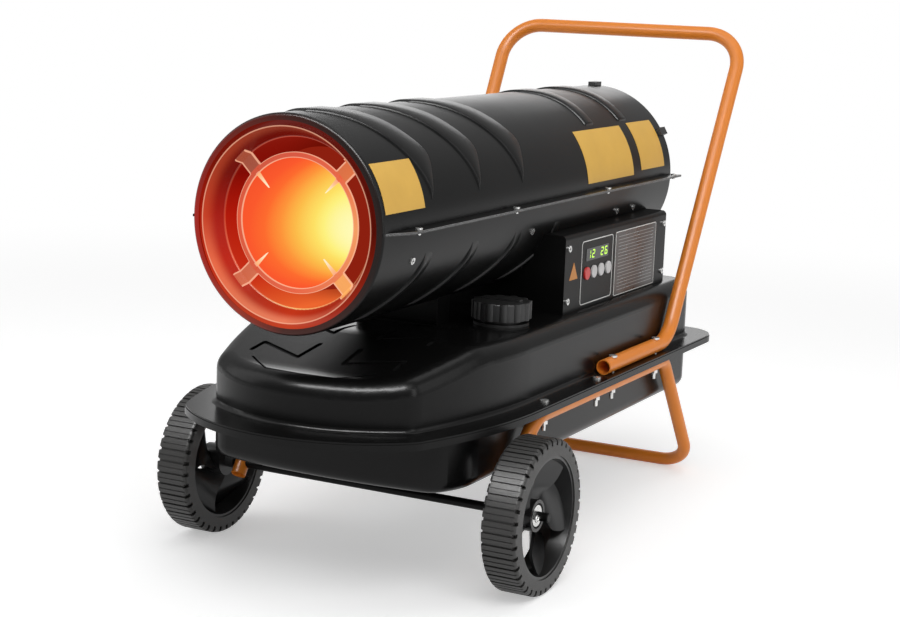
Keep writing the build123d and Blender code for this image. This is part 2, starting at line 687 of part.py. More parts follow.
def make_heat_liner():
    return ring_y(LINER_R, LINER_R - CONE_SHEET, CONE_THROAT_Y + CONE_BEAD_R, CHAMBER_REAR)


def make_combustion_chamber():
    shell = ring_y(CHAMBER_R, CHAMBER_IN_R, CHAMBER_FRONT, CHAMBER_REAR)
    for share in (0.15, 0.5, 0.87):
        y = CHAMBER_FRONT + share * (CHAMBER_REAR - CHAMBER_FRONT)
        root = CHAMBER_R - SINK
        shell += turned_y([(root, y - 4), (CHAMBER_R + CHAMBER_BEAD, y), (root, y + 4)])
    return shell


def make_chamber_front_ring():
    """Ring on the chamber's mouth with four arms out to the flare and four pointed fins inwards."""
    front = CHAMBER_FRONT - RING_T
    ring = ring_y(CHAMBER_R, RING_HOLE_R, front, CHAMBER_FRONT)
    arm = block(-ARM_W / 2, ARM_W / 2, front, CHAMBER_FRONT, CHAMBER_R - RING_W / 2, CONE_THROAT_R)
    spoke = arm + arm_foot(front) + inner_fin()
    for angle in (45, 135, 225, 315):
        ring += Pos(0, 0, BARREL_Z) * Rot(0, angle, 0) * spoke
    return ring - throat_bead()


def arm_foot(front):
    """End of an arm, bent forward to lie on the flare's inside."""
    slope = CONE_TAPER / CONE_DEPTH
    near, far = front - ARM_FOOT, CHAMBER_FRONT
    near_r = CONE_THROAT_R + slope * (CONE_THROAT_Y - near)
    far_r = CONE_THROAT_R + slope * (CONE_THROAT_Y - far)
    skin = Polyline((near_r - RING_T, near), (near_r, near), (far_r, far), (far_r - RING_T, far), close=True)
    return block(-ARM_W / 2, ARM_W / 2, near, far, 0, CONE_MOUTH_R) & revolve(make_face(skin), Axis.Y)


def inner_fin():
    base = RING_HOLE_R + RING_W - 1
    face = Polyline((-FIN_BASE / 2, base), (FIN_BASE / 2, base), (0, RING_HOLE_R - FIN_LENGTH), close=True)
    return Pos(0, CHAMBER_FRONT - RING_T / 2, 0) * extrude(Plane.XZ * make_face(face), FIN_T)


def make_burner_head():
    head = bar_y(CHAMBER_IN_R, CHAMBER_REAR - HEAD_T, CHAMBER_REAR)
    head -= bar_y(NOZZLE_R, CHAMBER_REAR - HEAD_T - 1, CHAMBER_REAR + 1)
    for x in (-ELECTRODE_X, ELECTRODE_X):
        head -= bar_y(ELECTRODE_R, CHAMBER_REAR - HEAD_T - 1, CHAMBER_REAR + 1, x, BARREL_Z + ELECTRODE_UP)
    slot = Pos(0, CHAMBER_REAR - HEAD_T / 2, 54) * Rot(0, 25, 0) * Box(5, 2 * HEAD_T, 34)
    for i in range(HEAD_SLOTS):
        head -= Pos(0, 0, BARREL_Z) * Rot(0, i * 360 / HEAD_SLOTS, 0) * slot
    return head


def bracket_arms(inner_r, y, thickness):
    """Sheet ring with four arms down and out to the lower shell."""
    half, foot_w = thickness / 2, BRACKET_ARM_W / 2
    ring = ring_y(inner_r + BRACKET_RIM, inner_r, y - half, y + half)
    for angle in (SHELL_SCREW_ANGLE, 150):
        arm = block(-foot_w, foot_w, y - half, y + half, inner_r + SINK, BARREL_R)
        foot = block(-foot_w, foot_w, y - foot_w, y + foot_w, SHELL_IN_R - BRACKET_T, BARREL_R)
        for side in both_sides(Pos(0, 0, BARREL_Z) * Rot(0, angle, 0) * (arm + foot)):
            ring += side
    return ring & bar_y(SHELL_IN_R, y - BRACKET_ARM_W, y + BRACKET_ARM_W)


def make_burner_bracket():
    return bracket_arms(CHAMBER_R - BURNER_BRACKET_T, CHAMBER_REAR + BURNER_BRACKET_T / 2, BURNER_BRACKET_T)


def make_nozzle():
    front = CHAMBER_REAR - HEAD_T
    nozzle = bar_y(NOZZLE_R, front - 10, CHAMBER_REAR + NOZZLE_BACK)
    nozzle += bar_y(NOZZLE_R / 2, front - 16, front - 9)
    collar = extrude(RegularPolygon(NOZZLE_R + 5, 6), BURNER_BRACKET_T)
    return nozzle + Pos(0, CHAMBER_REAR, BARREL_Z) * Rot(-90, 0, 0) * collar


def make_igniter():
    """Two electrodes through the burner head, on a holder fixed to the nozzle's rear end."""
    back = CHAMBER_REAR + NOZZLE_BACK
    up = BARREL_Z + ELECTRODE_UP
    holder = block(-14, 14, back, back + 8, up - 7, up + 7)
    igniter = holder + block(-6, 6, back, back + 3, BARREL_Z - 6, up)
    for x in (-ELECTRODE_X, ELECTRODE_X):
        igniter += bar_y(ELECTRODE_R, CHAMBER_REAR - HEAD_T - 8, back + 1, x, up)
        igniter += bar_y(ELECTRODE_R / 2, CHAMBER_REAR - HEAD_T - 24, CHAMBER_REAR, x, up)
    return igniter


def make_flame_sensor():
    """Photocell on the bracket's ring, low on the -X side."""
    back = CHAMBER_REAR + BURNER_BRACKET_T
    place = Pos(0, back, BARREL_Z) * Rot(0, SENSOR_ANGLE, 0)
    seat = CHAMBER_R - BURNER_BRACKET_T
    body = bar_y(SENSOR_R, 0, 3 * SENSOR_R, 0, seat)
    return place * (body + block(-SENSOR_R / 2, SENSOR_R / 2, 0, BRACKET_T, seat, CHAMBER_R))


# ---- motor, fan and pump
def make_motor():
    body = bar_y(MOTOR_R, MOTOR_FRONT, MOTOR_REAR)
    body = chamfer(body.edges().filter_by(GeomType.CIRCLE), 6)
    for angle in range(0, 360, 30):
        slot = Pos(0, MOTOR_MID, BARREL_Z) * Rot(0, angle, 0) * Pos(0, 0, MOTOR_R) * Box(6, 44, 5)
        body -= slot
    return body - bar_y(SHAFT_R + RUN_FIT, MOTOR_FRONT - 1, MOTOR_REAR + 1)


def make_motor_bracket():
    return group([bracket_arms(MOTOR_R, y, BRACKET_T) for y in MOTOR_BRACKETS])


def make_air_pump():
    body = bar_y(PUMP_R, MOTOR_REAR, PUMP_REAR)
    body -= bar_y(PUMP_ROTOR_R + 2, ROTOR_FRONT - MOVE_GAP, ROTOR_REAR + MOVE_GAP)
    return body - bar_y(SHAFT_R + RUN_FIT, MOTOR_REAR - 1, ROTOR_REAR)


def make_air_filter_cover():
    cover = bar_y(FILTER_R, PUMP_REAR, FILTER_REAR)
    cover = fillet(cover.edges().group_by(Axis.Y)[-1], 4)
    for angle in range(0, 360, 30):
        rib = Pos(0, (PUMP_REAR + FILTER_REAR) / 2, BARREL_Z) * Rot(0, angle, 0)
        cover -= rib * Pos(0, 4, FILTER_R) * Box(5, FILTER_DEPTH, 5)
    return cover


def make_fan_shaft():
    return bar_y(SHAFT_R, FAN_Y - FAN_DEPTH / 2 - 2, ROTOR_REAR)


def make_fan():
    hub = bar_y(FAN_HUB_R, FAN_Y - FAN_DEPTH / 2, FAN_Y + FAN_DEPTH / 2)
    root = Plane.XY.offset(FAN_HUB_R - 5) * Rot(0, 0, 50) * Rectangle(30, FAN_BLADE_T)
    tip = Plane.XY.offset(FAN_R + 4) * Rot(0, 0, 22) * Rectangle(66, FAN_BLADE_T)
    blade = loft([root, tip])
    fan = hub
    for i in range(FAN_BLADES):
        fan += Pos(0, FAN_Y, BARREL_Z) * Rot(0, i * 360 / FAN_BLADES, 0) * blade
    fan &= bar_y(FAN_R, FAN_Y - FAN_DEPTH, FAN_Y + FAN_DEPTH)
    return fan - bar_y(SHAFT_R, FAN_Y - FAN_DEPTH, FAN_Y + FAN_DEPTH)


def make_pump_rotor():
    rotor = ring_y(PUMP_ROTOR_R, SHAFT_R, ROTOR_FRONT, ROTOR_REAR)
    vane_slot = Pos(0, 0, PUMP_ROTOR_R) * Box(4, 2 * PUMP_ROTOR_W, PUMP_ROTOR_R - SHAFT_R)
    for angle in range(0, 360, 90):
        rotor -= Pos(0, PUMP_Y, BARREL_Z) * Rot(0, angle, 0) * vane_slot
    return rotor


def make_rear_guard():
    """Flat rings on cross wires, in front of the air intake."""
    outer = SHELL_IN_R - 1
    guard = None
    for i in range(GUARD_RINGS):
        radius = outer - i * outer / (GUARD_RINGS + 0.6)
        ring = ring_y(radius, radius - GUARD_WIRE, BARREL_REAR, BARREL_REAR + GUARD_WIRE)
        guard = ring if guard is None else guard + ring
    for angle in (0, 60, 120):
        wire = Box(2 * outer - GUARD_WIRE, GUARD_WIRE, GUARD_WIRE)
        guard += Pos(0, BARREL_REAR + GUARD_WIRE / 2, BARREL_Z) * Rot(0, angle + 90, 0) * wire
    return guard


def make_guard_clips():
    clips = []
    for angle in range(0, 360, 60):
        clip = block(-CLIP_W / 2, CLIP_W / 2, BARREL_REAR - CLIP_LENGTH, BARREL_REAR + CLIP_SIDE_H,
                     BARREL_R - 8, BARREL_R + CLIP_H)
        clip -= block(-CLIP_W, CLIP_W, BARREL_REAR - 2 * CLIP_LENGTH, BARREL_REAR, 0, BARREL_R)
        clip -= block(-CLIP_W, CLIP_W, BARREL_REAR - 1, BARREL_REAR + GUARD_WIRE, 0, SHELL_IN_R - 1)
        clips.append(Pos(0, 0, BARREL_Z) * Rot(0, angle, 0) * clip)
    return group(clips)


# ---- air and fuel lines
def make_air_line():
    """From the pump's underside forward under the fan, then up to the nozzle."""
    low = BARREL_Z - (FAN_R + SHELL_IN_R) / 2
    points = [(0, PUMP_Y, BARREL_Z - PUMP_R), (0, PUMP_Y, low), (0, LINE_END_Y, low),
              (0, LINE_END_Y, BARREL_Z - NOZZLE_R)]
    return bent_tube(points, LINE_BEND, AIR_LINE_R, LINE_WALL)


def make_fuel_line():
    """From the tank up through the control box and the barrel, then forward to the nozzle's side."""
    x, y, low = FUEL_LINE_X, FUEL_LINE_Y, FUEL_LINE_Z
    points = [(x, y, TANK_TOP), (x, y, low), (x, LINE_END_Y, low), (x, LINE_END_Y, BARREL_Z),
              (NOZZLE_R, LINE_END_Y, BARREL_Z)]
    return bent_tube(points, LINE_BEND, FUEL_LINE_R, LINE_WALL)


def fuel_line_hole():
    return bar_z(FUEL_LINE_R, TANK_TOP, FUEL_LINE_Z - FUEL_LINE_R, FUEL_LINE_X, FUEL_LINE_Y)


# ---- control box and supports
def make_control_box():
    """Sheet saddle under the barrel; its +X side is closed by the control panel."""
    body = block(-BOX_X, BOX_X, BOX_FRONT, BOX_REAR, TANK_TOP, BOX_TOP)
    body = fillet(body.edges().filter_by(Axis.Y).group_by(Axis.Z)[-1], BOX_EDGE_R)
    body -= block(BOX_X - PANEL_T, BOX_X + 1, BOX_FRONT - 1, BOX_REAR + 1, TANK_TOP - 1, PANEL_TOP)
    inner = block(-BOX_X + BOX_SHEET, BOX_X + 5, BOX_FRONT + BOX_SHEET, BOX_REAR - BOX_SHEET,
                  TANK_TOP + BOX_SHEET, PANEL_TOP)
    inner -= bar_y(BARREL_R + RIB_H + BOX_SHEET, BOX_FRONT, BOX_REAR)
    body -= bar_y(BARREL_R, BOX_FRONT - 5, BOX_REAR + 5)
    body -= inner + fuel_line_hole()
    return body - bar_y(GLAND_R, BOX_REAR - 10, BOX_REAR + 10, GLAND_X, GLAND_Z)


def make_control_panel():
    """Flat plate with the display's window and the buttons' holes."""
    panel = block(BOX_X - PANEL_T, BOX_X, BOX_FRONT, BOX_REAR, TANK_TOP, PANEL_TOP)
    panel -= block(BOX_X - 5, BOX_X + 5, *DISPLAY_Y, *DISPLAY_Z)
    for y in BUTTON_Y:
        panel -= bar_x(BUTTON_R + MOVE_GAP, BOX_X - 5, BOX_X + 5, y, BUTTON_Z)
    return panel


def make_display_window():
    back = block(BOX_X - PANEL_T - 6, BOX_X - PANEL_T, DISPLAY_Y[0] - 3, DISPLAY_Y[1] + 3,
                 DISPLAY_Z[0] - 3, DISPLAY_Z[1] + 3)
    return back + block(BOX_X - PANEL_T - 1, BOX_X + 0.6, *DISPLAY_Y, *DISPLAY_Z)


def make_button(y):
    """Round cap with a collar behind the panel that stops it from falling out."""
    back = BUTTON_BACK - BUTTON_COLLAR_T
    cap = bar_x(BUTTON_R, back, BOX_X + BUTTON_OUT, y, BUTTON_Z)
    cap = fillet(cap.edges().sort_by(Axis.X)[-1], BUTTON_OUT / 3)
    return cap + bar_x(BUTTON_R + BUTTON_COLLAR_W, back, BUTTON_BACK, y, BUTTON_Z)


def make_circuit_board():
    face = BOX_X - PANEL_T - 12
    y0, y1 = BUTTON_Y[0] - 16, BUTTON_Y[-1] + 16
    z0, z1 = TANK_TOP + 20, DISPLAY_Z[1] + 12
    board = block(face - 1.6, face, y0, y1, z0, z1)
    for y in (y0 + 5, y1 - 5):
        for z in (z0 + 5, z1 - 5):
            board += bar_x(3, face, BOX_X - PANEL_T, y, z)
    switch_front = BUTTON_BACK - BUTTON_COLLAR_T - BUTTON_TRAVEL - MOVE_GAP
    for y in BUTTON_Y:
        board += block(face, switch_front, y - 4, y + 4, BUTTON_Z - 4, BUTTON_Z + 4)
    return board + block(face - 16, face - 1.6, y0 + 12, y0 + 44, z0 + 12, z0 + 38)


def make_ignition_transformer():
    x0 = -BOX_X + 10
    y0 = (BOX_FRONT + BOX_REAR) / 2
    body = block(x0, x0 + 50, y0 - 40, y0 + 40, TANK_TOP + BOX_SHEET, TANK_TOP + BOX_SHEET + 48)
    body = fillet(body.edges().filter_by(Axis.Z), 5)
    for dy in (-16, 16):
        body += bar_z(5, TANK_TOP + BOX_SHEET + 47, TANK_TOP + BOX_SHEET + 60, x0 + 20, y0 + dy)
    return body


def make_cord_gland():
    inner, outer = BOX_REAR - GLAND_INSIDE, BOX_REAR - GLAND_INSIDE + GLAND_LENGTH
    gland = bar_y(GLAND_R, inner, outer, GLAND_X, GLAND_Z)
    gland += bar_y(GLAND_COLLAR_R, BOX_REAR, BOX_REAR + GLAND_COLLAR_T, GLAND_X, GLAND_Z)
    return gland - bar_y(GLAND_BORE_R, inner - 1, outer + 1, GLAND_X, GLAND_Z)


def make_front_bracket():
    """Sheet saddle that carries the barrel's front on the tank."""
    x, (y0, y1) = FRONT_BRACKET_X, FRONT_BRACKET_Y
    middle, half = (y0 + y1) / 2, BOX_SHEET / 2
    top = BARREL_Z - 0.85 * BARREL_R
    body = block(-x, x, y0, y1, TANK_TOP, top)
    body -= block(-x + BOX_SHEET, x - BOX_SHEET, y0 - 1, y1 + 1, TANK_TOP + BOX_SHEET, top + 1)
    body += block(-x, x, middle - half, middle + half, TANK_TOP, top)
    reach = x + FRONT_BRACKET_FOOT
    body += block(-reach, reach, y0, y1, TANK_TOP, TANK_TOP + BOX_SHEET)
    return body - bar_y(BARREL_R, y0 - 5, y1 + 5)


def make_panel_screws():
    places = [(y, z) for y in PANEL_SCREW_Y for z in PANEL_SCREW_Z]
    return group([bar_x(SCREW_HEAD_R, BOX_X, BOX_X + SCREW_HEAD_H, y, z) for y, z in places])


# ---- frame, axle and wheels
def make_leg_frame():
    """One bent tube: from the axle up under the flange, back, down to the floor, and across."""
    bend = Vector(LEG_X, LEG_FRONT_BEND, LEG_TUBE_Z)
    axle = Vector(LEG_AXLE_X, 0, AXLE_Z)
    end = axle + (axle - bend).normalized() * LEG_END_PAST_AXLE
    side = [end, bend, Vector(LEG_X, LEG_REAR_BEND, LEG_TUBE_Z), Vector(LEG_FLOOR_X, LEG_FLOOR_Y, LEG_R)]
    other = [Vector(-p.X, p.Y, p.Z) for p in reversed(side)]
    bends = [LEG_FRONT_BEND_R, LEG_REAR_BEND_R, LEG_CORNER_R]
    frame = bent_tube(side + other, bends + bends[::-1], LEG_R, TUBE_WALL)
    frame -= bar_x(AXLE_R, -2 * LEG_X, 2 * LEG_X, 0, AXLE_Z)
    for hole in bolt_holes():
        frame -= hole
    return frame


def make_handle():
    """One bent tube: a foot on each flange, two uprights that lean back, and the grip across the top."""
    side = [Vector(HANDLE_FOOT_X, HANDLE_FOOT_START, HANDLE_FOOT_Z),
            Vector(HANDLE_FOOT_X, HANDLE_FOOT_BEND, HANDLE_FOOT_Z),
            Vector(HANDLE_TOP_X, HANDLE_TOP_Y, HANDLE_TOP_Z)]
    other = [Vector(-p.X, p.Y, p.Z) for p in reversed(side)]
    bends = [HANDLE_FOOT_BEND_R, HANDLE_TOP_BEND_R]
    handle = bent_tube(side + other, bends + bends[::-1], HANDLE_R, TUBE_WALL)
    for hole in bolt_holes():
        handle -= hole
    return handle


def make_axle():
    axle = bar_x(AXLE_R, -WHEEL_OUT, WHEEL_OUT, 0, AXLE_Z)
    axle = chamfer(axle.edges().filter_by(GeomType.CIRCLE), 1)
    for side in (1, -1):
        axle -= pin_leg(side)
    return axle


def pin_leg(side):
    x = side * (WHEEL_OUT - PIN_FROM_FACE)
    return bar_y(PIN_R, -AXLE_R - 4, AXLE_R + 4, x, AXLE_Z)


def make_cotter_pins():
    """Pin through each end of the axle: an eye in front, one leg bent away behind."""
    pins = []
    for side in (1, -1):
        x = side * (WHEEL_OUT - PIN_FROM_FACE)
        eye = Pos(x, -AXLE_R - PIN_EYE, AXLE_Z) * Rot(0, 90, 0) * Torus(PIN_EYE / 2, PIN_WIRE_R)
        leg = Rot(-145, 0, 0) * Cylinder(PIN_WIRE_R, 2 * AXLE_R, align=BASE)
        leg = Pos(x, AXLE_R + PIN_EYE / 2, AXLE_Z) * leg
        pins.append(pin_leg(side) + eye + leg)
    return group(pins)


def make_axle_washers():
    outer_x = HUB_OUT - HUB_POCKET + MOVE_GAP
    pocket = bar_x(WASHER_R, outer_x, outer_x + WASHER_T, 0, AXLE_Z)
    pocket -= bar_x(AXLE_R, outer_x - 1, outer_x + WASHER_T + 1, 0, AXLE_Z)
    return group(both_sides(pocket))


def make_axle_spacers():
    x0, x1 = WHEEL_IN - MOVE_GAP - SPACER_L, WHEEL_IN - MOVE_GAP
    spacer = bar_x(AXLE_R + SPACER_WALL, x0, x1, 0, AXLE_Z) - bar_x(AXLE_R, x0 - 1, x1 + 1, 0, AXLE_Z)
    return group(both_sides(spacer))


def make_tyre():
    """Tyre of the +X wheel: lugs parted by cross slots, fine slots between them, notched shoulders."""
    middle = WHEEL_OUT - WHEEL_W / 2
    section = Pos(middle, (WHEEL_R + TYRE_SEAT_R) / 2) * Rectangle(WHEEL_W, WHEEL_R - TYRE_SEAT_R)
    tyre = turned_x(fillet(section.vertices().group_by(Axis.Y)[-1], TYRE_SHOULDER))
    step = 360 / TREAD_COUNT
    cuts = []
    for i in range(TREAD_COUNT):
        place = Pos(middle, 0, AXLE_Z) * Rot(i * step, 0, 0)
        cuts.append(place * lug_slot())
        cuts.append(place * Rot(step / 2, 0, 0) * cross_slot(SIPE_W, SIPE_DEPTH))
    return tyre - cuts


def cross_slot(width, depth):
    """Slot right across the tread, cut at the top of the wheel."""
    return block(-WHEEL_W, WHEEL_W, -width / 2, width / 2, WHEEL_R - depth, WHEEL_R + 1)


def lug_slot():
    """Slot between two lugs, with a deep notch in each shoulder."""
    slot = cross_slot(TREAD_SLOT, TREAD_DEPTH)
    shoulder = WHEEL_W / 2 - NOTCH_IN
    notch = block(shoulder, WHEEL_W, -NOTCH_W / 2, NOTCH_W / 2, WHEEL_R - NOTCH_DEPTH, WHEEL_R + 1)
    return slot + notch + mirror(notch, about=MIRROR)


def blade_edge(turn, hub_x, rim_x):
    """Sickle-shaped line from the hub out past the rim, turned on round the axle by the angle."""
    places = []
    for share, angle in BLADE_LINE:
        rise = (min(share, 1) - BLADE_LINE[0][0]) / (1 - BLADE_LINE[0][0])
        radius, a = share * RIM_IN_R, radians(angle + turn)
        places.append((hub_x + (rim_x - hub_x) * rise ** 2, radius * cos(a), radius * sin(a)))
    return Spline(*places)


def make_blade():
    """One swirl blade: a ruled surface from its front edge, by the hub's face, to its deep rear edge."""
    front = blade_edge(0, HUB_OUT - BLADE_FRONT, RIM_OUT - BLADE_FRONT)
    rear = blade_edge(BLADE_SWEEP, WHEEL_IN + BLADE_BACK, WHEEL_IN + BLADE_BACK)
    blade = extrude(Face.make_surface_from_curves(front, rear), amount=BLADE_T, dir=(-1, 0, 0))
    return blade & bar_x(RIM_IN_R + 1, WHEEL_IN, WHEEL_OUT, 0, 0)


def make_rim():
    """Rim of the +X wheel: a barrel, a hub, and five swirl blades with open gaps between them."""
    edge_in = WHEEL_IN + RIM_INSET
    middle = (RIM_OUT + edge_in) / 2
    corners = [(edge_in, RIM_IN_R), (edge_in, TYRE_SEAT_R), (RIM_OUT, TYRE_SEAT_R),
               (RIM_OUT, RIM_IN_R), (middle, RIM_IN_R - RIM_WALL)]
    rim = turned_x(make_face(Polyline(*corners, close=True)))
    blade = make_blade()
    for i in range(BLADE_COUNT):
        rim += Pos(0, 0, AXLE_Z) * Rot(i * 360 / BLADE_COUNT, 0, 0) * blade
    rim += bar_x(HUB_R, WHEEL_IN, HUB_OUT, 0, AXLE_Z)
    rim -= bar_x(HUB_POCKET_R, HUB_OUT - HUB_POCKET, WHEEL_OUT + 1, 0, AXLE_Z)
    return rim - bar_x(AXLE_R + RUN_FIT, WHEEL_IN - 1, WHEEL_OUT + 1, 0, AXLE_Z)


# ---- nodes
def save(name, shape):
    shape = Pos(0, -CENTRE_Y, 0) * shape
    export_step(shape, os.path.join("parts", name + ".step"))


def main():
    os.makedirs("parts", exist_ok=True)
    lower_shell = make_lower_shell()
    tyre = make_tyre()
    rim = make_rim()
    nodes = {
        "tank_upper_pan": make_tank_upper(),
        "tank_lower_pan": make_tank_lower(),
        "filler_neck": make_filler_neck(),
        "fuel_strainer": make_fuel_strainer(),
        "cap_gasket": make_cap_gasket(),
        "fuel_cap": make_fuel_cap(),
        "drain_plug": make_drain_plug(),
        "upper_shell": make_upper_shell(),
        "lower_shell": lower_shell,
        "outlet_cone": make_outlet_cone(),
        "heat_liner": make_heat_liner(),
        "combustion_chamber": make_combustion_chamber(),
        "chamber_front_ring": make_chamber_front_ring(),
        "burner_head": make_burner_head(),
        "burner_bracket": make_burner_bracket(),
        "nozzle": make_nozzle(),
        "igniter": make_igniter(),
        "flame_sensor": make_flame_sensor(),
        "motor": make_motor(),
        "motor_bracket": make_motor_bracket(),
        "air_pump": make_air_pump(),
        "air_filter_cover": make_air_filter_cover(),
        "fan_shaft": make_fan_shaft(),
        "fan": make_fan(),
        "pump_rotor": make_pump_rotor(),
        "rear_guard": make_rear_guard(),
        "guard_clips": make_guard_clips(),
        "air_line": make_air_line(),
        "fuel_line": make_fuel_line(),
        "control_box": make_control_box() - lower_shell,
        "control_panel": make_control_panel(),
        "display_window": make_display_window(),
        "circuit_board": make_circuit_board(),
        "ignition_transformer": make_ignition_transformer(),
        "cord_gland": make_cord_gland(),
        "front_bracket": make_front_bracket() - lower_shell,
        "panel_screws": make_panel_screws(),
        "seam_screws": make_seam_screws(),
        "shell_screws": make_shell_screws(),
        "leg_frame": make_leg_frame(),
        "handle": make_handle(),
        "frame_bolts": make_frame_bolts(),
        "frame_nuts": make_frame_nuts(),
        "axle": make_axle(),
        "axle_washers": make_axle_washers(),
        "axle_spacers": make_axle_spacers(),
        "cotter_pins": make_cotter_pins(),
        "tyre_right": tyre,
        "rim_right": rim,
        "tyre_left": mirror(tyre, about=MIRROR),
        "rim_left": mirror(rim, about=MIRROR),
    }
    for name, y in zip(("power_button", "up_button", "down_button", "mode_button"), BUTTON_Y):
        nodes[name] = make_button(y)
    for name, shape in nodes.items():
        save(name, shape)


main()
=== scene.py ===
"""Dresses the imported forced-air heater: finishes, casing, plates, panel, glow, floor, lamps and camera."""

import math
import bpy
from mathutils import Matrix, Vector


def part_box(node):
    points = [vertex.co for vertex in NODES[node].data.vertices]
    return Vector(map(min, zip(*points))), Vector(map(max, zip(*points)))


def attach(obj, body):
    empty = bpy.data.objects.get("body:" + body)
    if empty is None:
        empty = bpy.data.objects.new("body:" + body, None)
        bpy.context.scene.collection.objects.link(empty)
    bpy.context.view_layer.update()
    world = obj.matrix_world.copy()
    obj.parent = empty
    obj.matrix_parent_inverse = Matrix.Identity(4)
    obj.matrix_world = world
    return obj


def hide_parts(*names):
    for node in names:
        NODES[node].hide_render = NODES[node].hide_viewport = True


bl_info = {
    "name": "Forced Air Heater",
    "version": (1, 0, 0),
    "blender": (4, 5, 0),
    "location": "View3D > Sidebar > Heater",
    "description": "Builds the looks of a wheeled forced-air heater on its packed model",
    "category": "Object",
}

import bmesh
import bpy
import numpy as np
from bpy.props import FloatProperty, FloatVectorProperty, PointerProperty
from mathutils import Matrix, Vector

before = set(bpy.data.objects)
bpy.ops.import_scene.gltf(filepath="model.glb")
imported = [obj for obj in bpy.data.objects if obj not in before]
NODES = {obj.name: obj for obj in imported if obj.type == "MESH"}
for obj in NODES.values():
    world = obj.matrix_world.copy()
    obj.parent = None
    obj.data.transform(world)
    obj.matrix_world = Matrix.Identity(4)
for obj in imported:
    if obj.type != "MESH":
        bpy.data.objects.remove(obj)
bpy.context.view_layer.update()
MM = 0.001

# The barrel's casing, in millimetres
CASING_R = 135.0
CASING_INNER_R = 133.5
MOUTH_R = 126.0
CASING_FRONT, CASING_REAR = -213.0, 718.0
SEAM_Z = 472.5              # height of the barrel's axis and of the seam between its halves
SEAM_T = 1.6                # sheet of one side flange


def middle(node):
    low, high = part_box(node)
    return (low + high) / 2


AXLE_Y = middle("axle").y


def at(x, y, z):
    """A place in metres from millimetres, with y counted from the wheel axle."""
    return Vector((x * MM, y * MM + AXLE_Y, z * MM))


BARREL = at(0, 0, SEAM_Z)


# ---------------------------------------------------------------- sizes and colours a user may change
class HeaterStage(bpy.types.PropertyGroup):
    """Floor, lamps and camera."""
    lens: FloatProperty(
        name="Lens", description="Focal length on a 36 mm sensor", default=74.70, min=10, unit="CAMERA")
    azimuth: FloatProperty(
        name="Azimuth", description="Camera's direction round the heater", default=math.radians(27.2385),
        unit="ROTATION")
    elevation: FloatProperty(
        name="Elevation", description="Camera's height angle", default=math.radians(10.1507), unit="ROTATION")
    roll: FloatProperty(
        name="Roll", description="Camera's tilt about its view", default=math.radians(2.1191), unit="ROTATION")
    distance: FloatProperty(
        name="Distance", description="Camera to its target", default=2.57672, min=0.1, unit="LENGTH")
    floor: FloatVectorProperty(
        name="Floor", description="Colour of the floor", default=(0.90, 0.90, 0.90), size=3, min=0, max=1,
        subtype="COLOR")
    floor_white: FloatProperty(
        name="Floor white", description="White that the camera sees in the floor's shadow", default=0.40, min=0,
        max=1, subtype="FACTOR")
    key: FloatProperty(name="Key lamp", description="Power of the large lamp", default=25.0, min=0, unit="POWER")
    fill: FloatProperty(
        name="World", description="Strength of the even light", default=0.36, min=0, subtype="FACTOR")


class HeaterFinish(bpy.types.PropertyGroup):
    """Paint, plastic and glow colours."""
    enamel: FloatVectorProperty(
        name="Enamel", description="Paint of barrel and tank", default=(0.0036, 0.0036, 0.0036), size=3, min=0,
        max=1, subtype="COLOR")
    orange: FloatVectorProperty(
        name="Tube paint", description="Paint of handle and legs", default=(0.88, 0.262, 0.026), size=3, min=0,
        max=1, subtype="COLOR")
    rubber: FloatVectorProperty(
        name="Rubber", description="Tyres", default=(0.022, 0.021, 0.020), size=3, min=0, max=1, subtype="COLOR")
    plastic: FloatVectorProperty(
        name="Moulding", description="Rims and cap", default=(0.0085, 0.0085, 0.0088), size=3, min=0, max=1,
        subtype="COLOR")
    plate: FloatVectorProperty(
        name="Plate", description="Bare plates on the barrel", default=(0.80, 0.47, 0.075), size=3, min=0, max=1,
        subtype="COLOR")
    # This strength also sets the glow painted round the mouth.
    glow: FloatProperty(name="Glow", description="Strength of the chamber's glow", default=1.0, min=0)


class HeaterTrim(bpy.types.PropertyGroup):
    """Sizes of the pieces made here."""
    plate_thickness: FloatProperty(
        name="Plate", description="Thickness of the barrel's plates", default=0.0004, min=0.0001, unit="LENGTH")
    overlay_thickness: FloatProperty(
        name="Overlay", description="Thickness of the panel's overlay", default=0.0004, min=0.0001, unit="LENGTH")
    digit_height: FloatProperty(
        name="Digit", description="Height of the display's digits", default=0.0122, min=0.001, unit="LENGTH")


# ---------------------------------------------------------------- shader groups
def shader_group(name, inputs, outputs):
    """An empty node group, its incoming and its outgoing sockets, from (name, kind, default) each."""
    group = bpy.data.node_groups.new(name, "ShaderNodeTree")
    for label, kind, default in inputs:
        socket = group.interface.new_socket(label, in_out="INPUT", socket_type="NodeSocket" + kind)
        if default is not None:
            socket.default_value = default
    for label, kind in outputs:
        group.interface.new_socket(label, in_out="OUTPUT", socket_type="NodeSocket" + kind)
    return group, group.nodes.new("NodeGroupInput").outputs, group.nodes.new("NodeGroupOutput").inputs


def add_node(tree, kind, inputs=None, **settings):
    """A node with its settings, whose inputs take a value, or a link where a socket is given."""
    node = tree.nodes.new("ShaderNode" + kind)
    for name, value in settings.items():
        setattr(node, name, value)
    for slot, value in (inputs or {}).items():
        if isinstance(value, bpy.types.NodeSocket):
            tree.links.new(value, node.inputs[slot])
        elif value is not None:
            node.inputs[slot].default_value = value
    return node


def math_node(tree, operation, first, second=None, third=None, clamp=False):
    values = {0: first, 1: second, 2: third}
    return add_node(tree, "Math", values, operation=operation, use_clamp=clamp).outputs[0]


def share_between(tree, value, low, high, kind="SMOOTHSTEP"):
    """0 below one value, 1 above the other, and a step between."""
    inputs = {"Value": value, "From Min": low, "From Max": high}
    return add_node(tree, "MapRange", inputs, interpolation_type=kind).outputs["Result"]


